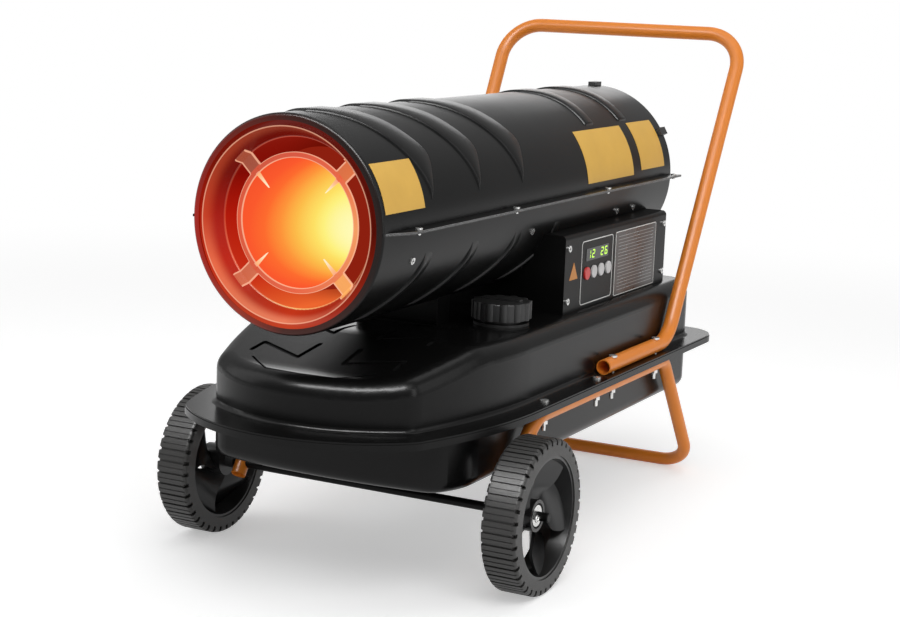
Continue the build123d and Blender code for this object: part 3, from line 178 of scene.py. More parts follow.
def rgba(colour):
    return (colour[0], colour[1], colour[2], 1.0)


def blend(tree, share, first, second):
    """Two colours, or sockets, mixed by a share."""
    first, second = (c if isinstance(c, bpy.types.NodeSocket) else rgba(c) for c in (first, second))
    inputs = {"Factor": share, "A": first, "B": second}
    return add_node(tree, "Mix", inputs, data_type="RGBA", clamp_factor=True).outputs["Result"]


def ramp_colour(tree, value, stops):
    """The colour of a ramp at a value from 0 to 1: (place, colour) stops."""
    ramp = add_node(tree, "ValToRGB", {"Fac": value})
    elements = ramp.color_ramp.elements
    elements[0].position, elements[0].color = stops[0][0], rgba(stops[0][1])
    elements[1].position, elements[1].color = stops[-1][0], rgba(stops[-1][1])
    for place_on, colour in stops[1:-1]:
        elements.new(place_on).color = rgba(colour)
    return ramp.outputs["Color"]


def make_surface_group():
    """Colour drift in soft patches, uneven gloss and a fine grain, all on the piece's own coordinates."""
    group, came, out = shader_group(
        "Surface life",
        [("Vector", "Vector", None), ("Colour", "Color", (0.5, 0.5, 0.5, 1)),
         ("Second colour", "Color", (0.4, 0.4, 0.4, 1)), ("Patch scale", "Float", 9.0),
         ("Patch amount", "Float", 0.3), ("Roughness", "Float", 0.4), ("Roughness spread", "Float", 0.1),
         ("Grain scale", "Float", 900.0), ("Grain depth", "Float", 0.2)],
        [("Colour", "Color"), ("Roughness", "Float"), ("Height", "Float")])
    links = group.links
    vector, scale = came["Vector"], came["Patch scale"]
    patches = add_node(group, "TexNoise", {"Vector": vector, "Scale": scale, "Detail": 5})
    spread = share_between(group, patches.outputs["Fac"], 0.35, 0.7, "LINEAR")
    amount = math_node(group, "MULTIPLY", spread, came["Patch amount"])
    links.new(blend(group, amount, came["Colour"], came["Second colour"]), out["Colour"])
    smudge_scale = math_node(group, "MULTIPLY", scale, 2.7)
    smudges = add_node(group, "TexNoise", {"Vector": vector, "Scale": smudge_scale, "Detail": 3})
    uneven = math_node(group, "SUBTRACT", smudges.outputs["Fac"], 0.5)
    uneven = math_node(group, "MULTIPLY", uneven, came["Roughness spread"])
    links.new(math_node(group, "ADD", uneven, came["Roughness"], clamp=True), out["Roughness"])
    grain = add_node(group, "TexNoise", {"Vector": vector, "Scale": came["Grain scale"], "Detail": 2})
    links.new(math_node(group, "MULTIPLY", grain.outputs["Fac"], came["Grain depth"]), out["Height"])
    return group


def make_dust_group():
    """Thin dust: a light film on faces that look up, broken by noise."""
    group, came, out = shader_group(
        "Settled dust",
        [("Vector", "Vector", None), ("Colour", "Color", (0.5, 0.5, 0.5, 1)),
         ("Dust", "Color", (0.2, 0.19, 0.17, 1)), ("Amount", "Float", 0.1)],
        [("Colour", "Color")])
    geometry = add_node(group, "NewGeometry")
    split = add_node(group, "SeparateXYZ", {"Vector": geometry.outputs["Normal"]})
    up = math_node(group, "MAXIMUM", split.outputs["Z"], 0.0)
    noise = add_node(group, "TexNoise", {"Vector": came["Vector"], "Scale": 35, "Detail": 6})
    film = math_node(group, "MULTIPLY", up, noise.outputs["Fac"])
    film = math_node(group, "MULTIPLY", film, came["Amount"], clamp=True)
    group.links.new(blend(group, film, came["Colour"], came["Dust"]), out["Colour"])
    return group


def make_round_group():
    """Coordinates round the barrel's axis: share of a turn from the bottom by way of the left, radius and place
    along, and how far a place lies from the chamber's nearest arm."""
    group, came, out = shader_group(
        "Round the barrel", [("Vector", "Vector", None), ("Axis height", "Float", 0.4725)],
        [("Turn", "Float"), ("Radius", "Float"), ("Along", "Float"), ("Across arms", "Float")])
    links = group.links
    split = add_node(group, "SeparateXYZ", {"Vector": came["Vector"]})
    side = split.outputs["X"]
    up = math_node(group, "SUBTRACT", split.outputs["Z"], came["Axis height"])
    angle = math_node(group, "ARCTAN2", side, up)
    links.new(math_node(group, "MULTIPLY_ADD", angle, 0.5 / math.pi, 0.5), out["Turn"])
    squares = math_node(group, "ADD", math_node(group, "MULTIPLY", side, side), math_node(group, "MULTIPLY", up, up))
    links.new(math_node(group, "SQRT", squares), out["Radius"])
    links.new(split.outputs["Y"], out["Along"])
    rising = math_node(group, "ABSOLUTE", math_node(group, "ADD", side, up))
    falling = math_node(group, "ABSOLUTE", math_node(group, "SUBTRACT", side, up))
    nearest = math_node(group, "MINIMUM", rising, falling)
    links.new(math_node(group, "MULTIPLY", nearest, math.sqrt(0.5)), out["Across arms"])
    return group


# ---------------------------------------------------------------- materials
GROUPS = {}
MATERIALS = {}


def group_node(tree, name, maker, inputs):
    if name not in GROUPS:
        GROUPS[name] = maker()
    return add_node(tree, "Group", inputs, node_tree=GROUPS[name])


def own_place(tree):
    """The piece's own coordinates."""
    return add_node(tree, "TexCoord").outputs["Object"]


def finish_material(name, colour, patch, rough, grain, bump, second=None, dust=0.0, metallic=0.0, specular=0.5):
    """A material with drifting colour, uneven gloss, fine grain and a little dust; its node tree is returned."""
    material = bpy.data.materials.new(name)
    material.use_nodes = True
    tree = material.node_tree
    shader = tree.nodes["Principled BSDF"]
    place = own_place(tree)
    surface = group_node(tree, "Surface life", make_surface_group, {
        "Vector": place, "Colour": rgba(colour), "Second colour": rgba(second or [c * 1.5 for c in colour]),
        "Patch scale": patch[0], "Patch amount": patch[1], "Roughness": rough[0], "Roughness spread": rough[1],
        "Grain scale": grain[0], "Grain depth": grain[1]})
    shown = surface.outputs["Colour"]
    if dust:
        inputs = {"Vector": place, "Colour": shown, "Amount": dust}
        shown = group_node(tree, "Settled dust", make_dust_group, inputs).outputs["Colour"]
    tree.links.new(shown, shader.inputs["Base Color"])
    tree.links.new(surface.outputs["Roughness"], shader.inputs["Roughness"])
    relief = add_node(tree, "Bump", {"Strength": 1.0, "Distance": bump, "Height": surface.outputs["Height"]})
    tree.links.new(relief.outputs["Normal"], shader.inputs["Normal"])
    shader.inputs["Metallic"].default_value = metallic
    shader.inputs["Specular IOR Level"].default_value = specular
    MATERIALS[name] = material
    return tree


def round_barrel(tree):
    """Turn, Radius, Along and Across arms of the piece's own coordinates."""
    inputs = {"Axis height": BARREL.z, "Vector": own_place(tree)}
    return group_node(tree, "Round the barrel", make_round_group, inputs).outputs


def set_glow(tree, colour, strength):
    shader = tree.nodes["Principled BSDF"]
    tree.links.new(colour, shader.inputs["Emission Color"])
    shader.inputs["Emission Strength"].default_value = strength


def make_materials(scene):
    finish = scene.heater_finish
    enamel, orange, rubber = tuple(finish.enamel), tuple(finish.orange), tuple(finish.rubber)
    plastic, plate = tuple(finish.plastic), tuple(finish.plate)
    # name: colour, patches, roughness and its spread, grain, bump in metres, and the rest
    kinds = {
        "barrel_enamel": (enamel, (7, 0.35), (0.30, 0.06), (1500, 0.3), 4e-5, dict(dust=0.006, specular=0.18)),
        "tank_enamel": (enamel, (6, 0.35), (0.25, 0.06), (1300, 0.3), 4e-5, dict(dust=0.006, specular=0.15)),
        "box_enamel": (enamel, (14, 0.3), (0.34, 0.06), (1800, 0.4), 5e-5, dict(dust=0.004, specular=0.10)),
        "tube_paint": (orange, (16, 0.35), (0.36, 0.08), (1400, 0.4), 6e-5,
                       dict(second=[c * 0.85 for c in orange], specular=0.35)),
        "tyre_rubber": (rubber, (30, 0.4), (0.44, 0.12), (1600, 0.8), 15e-5,
                        dict(second=(0.024, 0.023, 0.022), dust=0.035)),
        "rim_plastic": (plastic, (20, 0.3), (0.30, 0.10), (1500, 0.4), 8e-5, dict(dust=0.03)),
        "black_moulding": (plastic, (25, 0.4), (0.42, 0.12), (1700, 0.6), 1e-4, dict(dust=0.04)),
        "soft_rubber": ((0.02, 0.02, 0.02), (40, 0.3), (0.7, 0.1), (1500, 0.6), 1e-4, {}),
        "bright_screw": ((0.80, 0.80, 0.79), (90, 0.6), (0.24, 0.14), (2500, 0.4), 5e-5,
                         dict(second=(0.55, 0.55, 0.53), metallic=0.75)),
        "dark_bolt": ((0.05, 0.05, 0.05), (80, 0.5), (0.35, 0.12), (2000, 0.5), 5e-5, dict(metallic=0.9)),
        "brass": ((0.72, 0.47, 0.16), (70, 0.6), (0.25, 0.12), (1800, 0.4), 5e-5,
                  dict(second=(0.5, 0.3, 0.1), metallic=1.0)),
        "plain_steel": ((0.56, 0.56, 0.57), (22, 0.5), (0.33, 0.14), (1200, 0.5), 6e-5,
                        dict(second=(0.36, 0.35, 0.34), metallic=1.0)),
        "cast_metal": ((0.5, 0.5, 0.5), (35, 0.6), (0.48, 0.14), (700, 0.9), 2e-4,
                       dict(second=(0.33, 0.33, 0.33), metallic=0.9)),
        "copper_line": ((0.62, 0.27, 0.14), (50, 0.6), (0.3, 0.15), (1500, 0.4), 5e-5,
                        dict(second=(0.4, 0.17, 0.08), metallic=1.0)),
        "board_green": ((0.01, 0.12, 0.03), (60, 0.5), (0.45, 0.1), (1500, 0.5), 1e-4, {}),
        "plate_yellow": (plate, (24, 0.25), (0.42, 0.10), (1500, 0.3), 4e-5, dict(second=(0.62, 0.34, 0.05))),
        "overlay_white": ((0.72, 0.72, 0.70), (40, 0.2), (0.45, 0.08), (1500, 0.2), 3e-5, {}),
        "overlay_grey": ((0.022, 0.020, 0.019), (18, 0.6), (0.28, 0.08), (1500, 0.2), 3e-5,
                         dict(second=(0.050, 0.024, 0.014))),
        "pale_rule": ((0.30, 0.30, 0.30), (40, 0.3), (0.45, 0.1), (1500, 0.2), 3e-5, {}),
        # Painted highlight: lighter grey on the side flanges' bevelled edges.
        "painted_highlight_edge": ((0.20, 0.20, 0.20), (60, 0.7), (0.25, 0.1), (1500, 0.3), 3e-5, {}),
        "amber_plate": ((0.55, 0.20, 0.012), (40, 0.2), (0.4, 0.08), (1500, 0.2), 3e-5, {}),
        "display_dark": ((0.006, 0.006, 0.006), (40, 0.2), (0.16, 0.05), (1500, 0.1), 2e-5, {}),
        "red_key": ((0.62, 0.03, 0.03), (60, 0.2), (0.34, 0.08), (1500, 0.3), 4e-5, {}),
        "grey_key": ((0.58, 0.57, 0.57), (60, 0.2), (0.36, 0.08), (1500, 0.3), 4e-5, {}),
        "ceramic": ((0.78, 0.76, 0.72), (60, 0.2), (0.35, 0.08), (900, 0.3), 5e-5, {}),
    }
    for name, (*look, rest) in kinds.items():
        finish_material(name, *look, **rest)
    make_painted_glow_materials(finish.glow)
    make_digit_material()


# Painted glow of the chamber's wall, by its distance from the hottest and brightest place, as a share of HOT_REACH
# in metres.
HOT_PLACE = at(-170, 82.5, 360)
HOT_REACH = 0.35
CHAMBER_STOPS = [(0.30, (1.0, 1.0, 0.62)), (0.41, (0.98, 0.88, 0.21)), (0.45, (0.98, 0.75, 0.13)),
                 (0.536, (0.97, 0.51, 0.07)), (0.62, (0.98, 0.295, 0.043)), (0.71, (0.98, 0.147, 0.028)),
                 (0.80, (0.955, 0.10, 0.026)), (0.92, (0.90, 0.085, 0.024))]

# Painted light of the glow round the mouth, by the share of a turn: 0 is the bottom, 0.25 the left, 0.5 the top,
# 0.75 the right.
FLARE_EDGE = [(0.0, (0.80, 0.20, 0.10)), (0.083, (0.76, 0.18, 0.085)), (0.167, (0.82, 0.14, 0.055)),
              (0.25, (0.56, 0.044, 0.012)), (0.333, (0.36, 0.037, 0.013)), (0.5, (0.18, 0.025, 0.012)),
              (0.75, (0.10, 0.006, 0.003)), (0.917, (0.45, 0.06, 0.03)), (1.0, (0.80, 0.20, 0.10))]
FLARE_INNER = [(0.0, (0.53, 0.03, 0.005)), (0.083, (0.42, 0.018, 0.003)), (0.167, (0.50, 0.012, 0.002)),
               (0.25, (0.36, 0.005, 0.0015)), (0.333, (0.15, 0.001, 0.0006)), (0.5, (0.11, 0.002, 0.001)),
               (0.75, (0.08, 0.003, 0.001)), (0.917, (0.35, 0.015, 0.004)), (1.0, (0.53, 0.03, 0.005))]
BEAD = [(0.0, (0.97, 0.53, 0.17)), (0.083, (0.74, 0.18, 0.087)), (0.167, (0.82, 0.15, 0.072)),
        (0.25, (0.56, 0.042, 0.014)), (0.333, (0.30, 0.036, 0.018)), (0.5, (0.54, 0.087, 0.053)),
        (0.75, (0.10, 0.006, 0.003)), (0.917, (0.92, 0.32, 0.115)), (1.0, (0.97, 0.53, 0.17))]
LINER = [(0.0, (0.85, 0.14, 0.03)), (0.12, (0.60, 0.03, 0.008)), (0.25, (0.44, 0.008, 0.002)),
         (0.333, (0.21, 0.0025, 0.001)), (0.5, (0.22, 0.011, 0.005)), (0.75, (0.18, 0.008, 0.003)),
         (1.0, (0.85, 0.14, 0.03))]
RING = [(0.0, (0.80, 0.11, 0.04)), (0.125, (0.66, 0.09, 0.035)), (0.25, (0.74, 0.076, 0.025)),
        (0.375, (0.62, 0.074, 0.03)), (0.5, (0.68, 0.078, 0.035)), (0.625, (0.80, 0.12, 0.045)),
        (0.75, (0.90, 0.33, 0.11)), (0.875, (0.82, 0.20, 0.07)), (1.0, (0.80, 0.11, 0.04))]
ARMS = [(0.0, (0.80, 0.25, 0.09)), (0.125, (0.62, 0.125, 0.055)), (0.25, (0.45, 0.09, 0.04)),
        (0.375, (0.34, 0.065, 0.032)), (0.5, (0.45, 0.09, 0.035)), (0.625, (0.72, 0.15, 0.04)),
        (0.75, (0.85, 0.27, 0.07)), (0.875, (0.93, 0.38, 0.095)), (1.0, (0.80, 0.25, 0.09))]
LIP = [(0.0, (0.05, 0.010, 0.006)), (0.083, (0.28, 0.024, 0.009)), (0.167, (0.31, 0.008, 0.001)),
       (0.25, (0.33, 0.007, 0.001)), (0.333, (0.20, 0.006, 0.001)), (0.417, (0.11, 0.009, 0.004)),
       (0.5, (0.04, 0.006, 0.003)), (0.60, (0.010, 0.003, 0.002)), (0.80, (0.008, 0.002, 0.001)),
       (1.0, (0.05, 0.010, 0.006))]
# Painted highlight along the flare's front edge and the ring's outlines.
PAINTED_EDGE_HIGHLIGHT = (1.0, 0.50, 0.32)


def make_flare(glow):
    """Sheet round the mouth in painted light of the glow: dark red inside, orange towards its front edge, with a
    painted highlight for its edge line and a bright painted bead.
    """
    flare = finish_material("flare_painted_glow", (0.020, 0.004, 0.002), second=(0.012, 0.002, 0.001), patch=(14, 0.5),
                            rough=(0.32, 0.08), grain=(900, 0.4), bump=5e-5, specular=0.25)
    around = round_barrel(flare)
    turn, along = around["Turn"], around["Along"]
    low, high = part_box("outlet_cone")
    edge = ramp_colour(flare, turn, FLARE_EDGE)
    inner = ramp_colour(flare, turn, FLARE_INNER)
    shown = blend(flare, share_between(flare, along, low.y + 0.002, low.y + 0.019), edge, inner)
    bead = ramp_colour(flare, turn, BEAD)
    shown = blend(flare, share_between(flare, along, high.y - 0.0038, high.y - 0.0030), shown, bead)
    # The flare's front edge takes a painted highlight.
    rim = share_between(flare, along, low.y + 0.0004, low.y + 0.0001)
    set_glow(flare, blend(flare, rim, shown, blend(flare, 0.55, edge, PAINTED_EDGE_HIGHLIGHT)), glow)


def make_liner(glow):
    # Painted light of the chamber's glow on the liner: a colour by the share of a turn, dark red deeper in.
    liner = finish_material("liner_painted_glow", (0.016, 0.003, 0.002), second=(0.010, 0.002, 0.001), patch=(14, 0.5),
                            rough=(0.45, 0.10), grain=(900, 0.4), bump=5e-5, specular=0.2)
    around = round_barrel(liner)
    shown = ramp_colour(liner, around["Turn"], LINER)
    deep = share_between(liner, around["Along"], at(0, -150, 0).y, at(0, 60, 0).y)
    set_glow(liner, blend(liner, deep, shown, (0.10, 0.004, 0.001)), glow)


def make_ring(glow):
    """The chamber's front ring in painted light of the glow: lit faces, painted highlights along its outlines, and
    fins painted white-hot towards their tips.
    """
    ring = finish_material("ring_painted_glow", (0.05, 0.015, 0.008), second=(0.03, 0.008, 0.004), patch=(18, 0.5),
                           rough=(0.34, 0.10), grain=(900, 0.4), bump=5e-5, specular=0.3)
    around = round_barrel(ring)
    turn, radius, across = around["Turn"], around["Radius"], around["Across arms"]
    faces, arms = ramp_colour(ring, turn, RING), ramp_colour(ring, turn, ARMS)
    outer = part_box("combustion_chamber")[1].x - 0.0025
    hole = outer - 0.007
    shown = blend(ring, share_between(ring, radius, outer, outer + 0.001), faces, arms)
    fins = share_between(ring, radius, hole, hole - 0.0008)
    tips = share_between(ring, radius, hole, hole - 0.022)
    shown = blend(ring, fins, shown, blend(ring, tips, (1.0, 0.46, 0.20), (1.0, 0.90, 0.62)))
    # Pale lines along the hole, the ring's outline and the arms' sides are painted highlights.
    line = share_between(ring, radius, hole + 0.0013, hole + 0.0006)
    outline = math_node(ring, "MULTIPLY", share_between(ring, radius, outer - 0.0011, outer - 0.0004),
                        share_between(ring, across, 0.0085, 0.0095))
    side = math_node(ring, "MULTIPLY", share_between(ring, across, 0.0078, 0.0086),
                     share_between(ring, radius, outer, outer + 0.0008))
    edges = math_node(ring, "MAXIMUM", outline, side)
    edges = math_node(ring, "MAXIMUM", edges, math_node(ring, "SUBTRACT", line, fins, clamp=True))
    set_glow(ring, blend(ring, math_node(ring, "MULTIPLY", edges, 0.75), shown, PAINTED_EDGE_HIGHLIGHT), glow)


def make_chamber(glow):
    """The chamber's wall, whose fire glow is painted as emission: white-hot at its deep left, red at its mouth, with
    a painted dull red light outside.
    """
    chamber = finish_material("chamber_painted_glow", (0.008, 0.003, 0.002), second=(0.005, 0.002, 0.001),
                              patch=(14, 0.4), rough=(0.7, 0.1), grain=(700, 0.5), bump=5e-5, specular=0.0)
    away = add_node(chamber, "VectorMath", {0: own_place(chamber), 1: HOT_PLACE}, operation="DISTANCE")
    distance = math_node(chamber, "MULTIPLY", away.outputs["Value"], 1.0 / HOT_REACH)
    heat = ramp_colour(chamber, distance, CHAMBER_STOPS)
    # Outside the chamber: a dull red painted light of the glow.
    outside = share_between(chamber, round_barrel(chamber)["Radius"], 0.0855, 0.0860)
    set_glow(chamber, blend(chamber, outside, heat, (0.26, 0.014, 0.005)), glow)


def make_head(glow):
    # Painted glow: emission on the burner head, white-hot at its middle and orange towards its edge.
    head = finish_material("head_painted_glow", (0.10, 0.05, 0.03), second=(0.06, 0.03, 0.02), patch=(14, 0.4),
                           rough=(0.5, 0.1), grain=(700, 0.5), bump=1e-4, metallic=0.4)
    outward = share_between(head, round_barrel(head)["Radius"], 0.0, 0.085, "LINEAR")
    stops = [(0.0, (1.0, 0.96, 0.62)), (0.45, (1.0, 0.84, 0.34)), (1.0, (0.98, 0.55, 0.10))]
    set_glow(head, ramp_colour(head, outward, stops), glow)


def add_lip_painted_glow(glow):
    """Painted light of the chamber's glow on the shell's lip and on the inside of its mouth."""
    shell = MATERIALS["barrel_enamel"].node_tree
    around = round_barrel(shell)
    front = at(0, CASING_FRONT, 0).y
    colour = ramp_colour(shell, around["Turn"], LIP)
    mouth = share_between(shell, around["Along"], front + 0.030, front + 0.020)
    within = share_between(shell, around["Radius"], 0.1346, 0.1315)
    strength = math_node(shell, "MULTIPLY", math_node(shell, "MULTIPLY", mouth, within), glow)
    set_glow(shell, blend(shell, strength, (0.0, 0.0, 0.0), colour), 1.0)


def make_painted_glow_materials(glow):
    # Emission painted as the chamber's glow and as its light round the mouth.
    make_flare(0.95 * glow)
    make_liner(0.95 * glow)
    make_ring(0.95 * glow)
    make_chamber(1.0 * glow)
    make_head(0.9 * glow)
    add_lip_painted_glow(min(glow, 1.0))


def make_digit_material():
    lit = finish_material("lit_digit", (0.35, 0.5, 0.05), patch=(60, 0.2), rough=(0.4, 0.05), grain=(900, 0.2),
                          bump=2e-5)
    shader = lit.nodes["Principled BSDF"]
    shader.inputs["Emission Color"].default_value = (0.50, 0.95, 0.08, 1)
    shader.inputs["Emission Strength"].default_value = 0.9


NODE_FINISH = {
    "barrel_enamel": ("upper_shell", "lower_shell", "rear_guard"),
    "tank_enamel": ("tank_upper_pan", "tank_lower_pan"),
    "box_enamel": ("control_box", "control_panel", "front_bracket", "axle"),
    "tube_paint": ("leg_frame", "handle"),
    "tyre_rubber": ("tyre_right", "tyre_left"),
    "rim_plastic": ("rim_right", "rim_left"),
    "black_moulding": ("fuel_cap", "filler_neck", "air_filter_cover", "guard_clips", "ignition_transformer",
                       "cord_gland", "axle_spacers", "flame_sensor"),
    "soft_rubber": ("cap_gasket",),
    "bright_screw": ("panel_screws", "seam_screws", "shell_screws", "axle_washers", "cotter_pins", "frame_bolts",
                     "frame_nuts"),
    "brass": ("nozzle",),
    "plain_steel": ("fuel_strainer", "drain_plug", "burner_bracket", "motor_bracket", "fan_shaft", "pump_rotor"),
    "cast_metal": ("motor", "air_pump", "fan"),
    "copper_line": ("air_line", "fuel_line"),
    "board_green": ("circuit_board",),
    "display_dark": ("display_window",),
    "red_key": ("power_button",),
    "grey_key": ("up_button", "down_button", "mode_button"),
    "ceramic": ("igniter",),
    "flare_painted_glow": ("outlet_cone",),
    "liner_painted_glow": ("heat_liner",),
    "ring_painted_glow": ("chamber_front_ring",),
    "chamber_painted_glow": ("combustion_chamber",),
    "head_painted_glow": ("burner_head",),
}


def dress(node, material):
    data = NODES[node].data
    data.materials.clear()
    data.materials.append(MATERIALS[material])


# ---------------------------------------------------------------- pieces
def add_piece(name, bm, body, materials, sharp=35.0):
    """Turns a bmesh into a piece of the heater that rides on a body."""
    mesh = bpy.data.meshes.new(name)
    bm.normal_update()
    bm.to_mesh(mesh)
    bm.free()
    mesh.shade_smooth()
    mesh.set_sharp_from_angle(angle=math.radians(sharp))
    piece = bpy.data.objects.new(name, mesh)
    bpy.context.scene.collection.objects.link(piece)
    for material in materials:
        mesh.materials.append(MATERIALS[material])
    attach(piece, body)
    return piece


def thicken(bm, faces, depth):
    """Extrudes faces straight up by a depth."""
    extruded = bmesh.ops.extrude_face_region(bm, geom=list(faces))["geom"]
    moved = [part for part in extruded if isinstance(part, bmesh.types.BMVert)]
    bmesh.ops.translate(bm, verts=moved, vec=(0, 0, depth))


def add_block(bm, size, matrix):
    """A small flat block in a larger pattern, such as a rule or a stroke of a figure."""
    made = bmesh.ops.create_cube(bm, size=1.0)["verts"]
    bmesh.ops.scale(bm, verts=made, vec=size)
    bmesh.ops.transform(bm, matrix=matrix, verts=made)


def round_corners(bm, radius, segments):
    bmesh.ops.bevel(bm, geom=list(bm.verts), offset=radius, offset_type="OFFSET", segments=segments, profile=0.5,
                    affect="VERTICES", material=-1)


def wrap_on_barrel(bm, radius):
    """Bends a flat shape onto the barrel: x is taken as y along the barrel, y as the arc length from the top."""
    for vert in bm.verts:
        along, arc, lift = vert.co
        angle = arc / radius
        reach = radius + lift
        vert.co = Vector((reach * math.sin(angle), along, BARREL.z + reach * math.cos(angle)))


# Outlines of the pressed ribs: millimetres along the barrel at angles from its top, for the first rib of each row.
SWEPT_FRONT = ((0, -175), (8, -163), (20, -148), (30, -136), (39.4, -125), (46.7, -114.5), (53.8, -106),
               (60.5, -98.4), (67.3, -91.5), (72, -88.6), (76.5, -87.8))
SWEPT_REAR = ((0, -122), (12, -105), (24, -89), (35, -77), (44, -66), (49, -59), (53.7, -59.5), (62.6, -70.5),
              (70.9, -80.8), (76.5, -87.6))
BAND_FRONT = ((0, -22), (12, -7), (26, 0), (48, 0))
BAND_REAR = ((0, 30), (48, 30))
LOW_FRONT = ((104.5, -84), (108.7, -85.5), (113.1, -89.5), (118.8, -96.5), (124.6, -107.2), (130.8, -120.6),
             (138.3, -137.3), (150, -158))
LOW_REAR = tuple((angle, y + 26) for angle, y in LOW_FRONT)
SWEPT_PITCH, LOW_START, LOW_PITCH = 129, -15, 128
BAND_STARTS = (446, 573)
SWEPT_END, BAND_END = 76.5, 48              # degrees from the top
LOW_TOP, LOW_END = 104.5, 150
RIB_STEPS = (0.0, 0.8, 1.8, 3.0)           # across a rib's wall
RIB_RISE = (-0.3, 1.3, 2.6, 3.0)
FADE_STEPS = (9.0, 17.0, 26.0)
FADE_RISE = (2.5, 1.4, -0.3)


def edge_line(outline, angle):
    """Where a rib's edge lies at an angle, with the outline's corners rounded."""
    angles, places = zip(*outline)
    near = [np.clip(abs(angle) + step, angles[0], angles[-1]) for step in (-3, -1.5, 0, 1.5, 3)]
    return float(np.mean([np.interp(place, angles, places) for place in near]))


def pressed_rib(bm, front, rear, start, angles, height_at, fades=False):
    """A rib pressed out of the barrel, between two edge lines, at a list of angles from the top in degrees."""
    rises = list(RIB_RISE) + (list(FADE_RISE) if fades else list(RIB_RISE)[::-1])
    grid = bmesh.ops.create_grid(bm, x_segments=len(angles) - 1, y_segments=len(rises) - 1, size=0.5)["verts"]
    for vert in grid:
        angle = angles[round((vert.co.x + 0.5) * (len(angles) - 1))]
        rank = round((vert.co.y + 0.5) * (len(rises) - 1))
        near, far = edge_line(front, angle), edge_line(rear, angle)
        width = max(far - near, 0.0)
        slim = min(1.0, width / (2 * RIB_STEPS[-1] + 1)) if not fades else 1.0
        if rank < len(RIB_STEPS):
            along = near + RIB_STEPS[rank] * slim
        elif fades:
            along = near + FADE_STEPS[rank - len(RIB_STEPS)]
        else:
            along = far - RIB_STEPS[len(rises) - 1 - rank] * slim
        rise = rises[rank] if rises[rank] < 0 else rises[rank] * slim * height_at(abs(angle))
        turn, reach = math.radians(angle), (CASING_R + rise) * MM
        vert.co = at(0, start + along, 0)
        vert.co.x, vert.co.z = reach * math.sin(turn), BARREL.z + reach * math.cos(turn)


def shell_profile():
    """The casing's wall and its turned-in lip as (radius, y), once round."""
    def curl(radius):
        steps = [math.radians(15 * i) for i in range(7)]
        return [(130 + radius * math.cos(a), -208 - radius * math.sin(a)) for a in steps]
    return ([(CASING_INNER_R, CASING_REAR), (CASING_R, CASING_REAR)] + curl(5.0)
            + [(MOUTH_R, CASING_FRONT), (MOUTH_R, CASING_FRONT + 1.5)] + curl(3.5)[::-1])


FLANGE_START, FLANGE_GROWN = -212.0, 52.0      # where a side flange begins, and the length in which it grows out
FLANGE_INNER, FLANGE_OUTER, FLANGE_WIDTH = 134.2, 135.2, 18.5


def side_flange(bm, side, z0, z1):
    """The flange along a half's side: it grows out of the lip in a curve."""
    places = [FLANGE_START + FLANGE_GROWN * (i / 20) ** 1.3 for i in range(21)] + [CASING_REAR]
    grid = bmesh.ops.create_grid(bm, x_segments=len(places) - 1, y_segments=1, size=0.5)["verts"]
    for vert in grid:
        y = places[round((vert.co.x + 0.5) * (len(places) - 1))]
        grown = min(max((y - FLANGE_START) / FLANGE_GROWN, 0.0), 1.0)
        grown = grown * grown * (3 - 2 * grown)
        x = FLANGE_INNER if vert.co.y < 0 else FLANGE_OUTER + FLANGE_WIDTH * grown
        vert.co = at(side * x, y, z0)
    thicken(bm, {face for vert in grid for face in vert.link_faces}, (z1 - z0) * MM)
    edges = [e for e in bm.edges if e.is_valid and all(abs(v.co.x) > 0.1355 and v.co.x * side > 0 for v in e.verts)
             and not e.is_boundary and e.calc_face_angle(0) > 1.0 and abs(e.verts[0].co.z - e.verts[1].co.z) < 1e-5]
    # The bevelled edges get the second material, a painted highlight.
    bevelled = bmesh.ops.bevel(bm, geom=edges, offset=0.0005, offset_type="OFFSET", segments=2, profile=0.5,
                               affect="EDGES", material=-1)
    for face in bevelled["faces"]:
        face.material_index = 1


def half_casing(name, node, upper):
    """One half of the barrel's casing with its lip, side flanges and pressed ribs."""
    bm = bmesh.new()
    bottom = SEAM_Z if upper else SEAM_Z - SEAM_T
    for side in (1, -1):
        side_flange(bm, side, bottom, bottom + SEAM_T)
    ring = [bm.verts.new(at(-radius, y, SEAM_Z)) for radius, y in shell_profile()]
    wire = [bm.edges.new((ring[i - 1], ring[i])) for i in range(len(ring))]
    spun = bmesh.ops.spin(bm, geom=ring + wire, cent=BARREL, axis=(0, 1, 0), angle=math.pi if upper else -math.pi,
                          steps=120, use_merge=False, use_duplicate=False)
    last = [part for part in spun["geom_last"] if isinstance(part, bmesh.types.BMEdge)]
    bmesh.ops.contextual_create(bm, geom=wire)
    bmesh.ops.contextual_create(bm, geom=last)
    if upper:
        swept = [-SWEPT_END + 2 * SWEPT_END * i / 108 for i in range(109)]
        banded = [-48, -47.7, -47.3, -46.8] + [-46 + 92 * i / 64 for i in range(65)] + [46.8, 47.3, 47.7, 48]
        for i in range(3):
            pressed_rib(bm, SWEPT_FRONT, SWEPT_REAR, i * SWEPT_PITCH, swept, lambda angle: 1.0)
        for start in BAND_STARTS:
            pressed_rib(bm, BAND_FRONT, BAND_REAR, start, banded,
                        lambda angle: min(1.0, max(0.0, (BAND_END - angle) / 1.2)))
    else:
        low = [LOW_TOP + (LOW_END - LOW_TOP) * i / 40 for i in range(41)]
        for i in range(4):
            for side in (1, -1):
                pressed_rib(bm, LOW_FRONT, LOW_REAR, LOW_START + i * LOW_PITCH, [side * angle for angle in low],
                            lambda angle: min(1.0, (angle - LOW_TOP) / 8, (LOW_END - angle) / 6), fades=True)
    bmesh.ops.remove_doubles(bm, verts=bm.verts, dist=0.00001)
    bmesh.ops.recalc_face_normals(bm, faces=bm.faces)
    piece = add_piece(name, bm, "base", ["barrel_enamel", "painted_highlight_edge"], sharp=50.0)
    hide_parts(node)


PLATE_LIFT = 0.0001         # plates above the casing
PANEL_LIFT = 0.00005        # flat pieces above the control panel


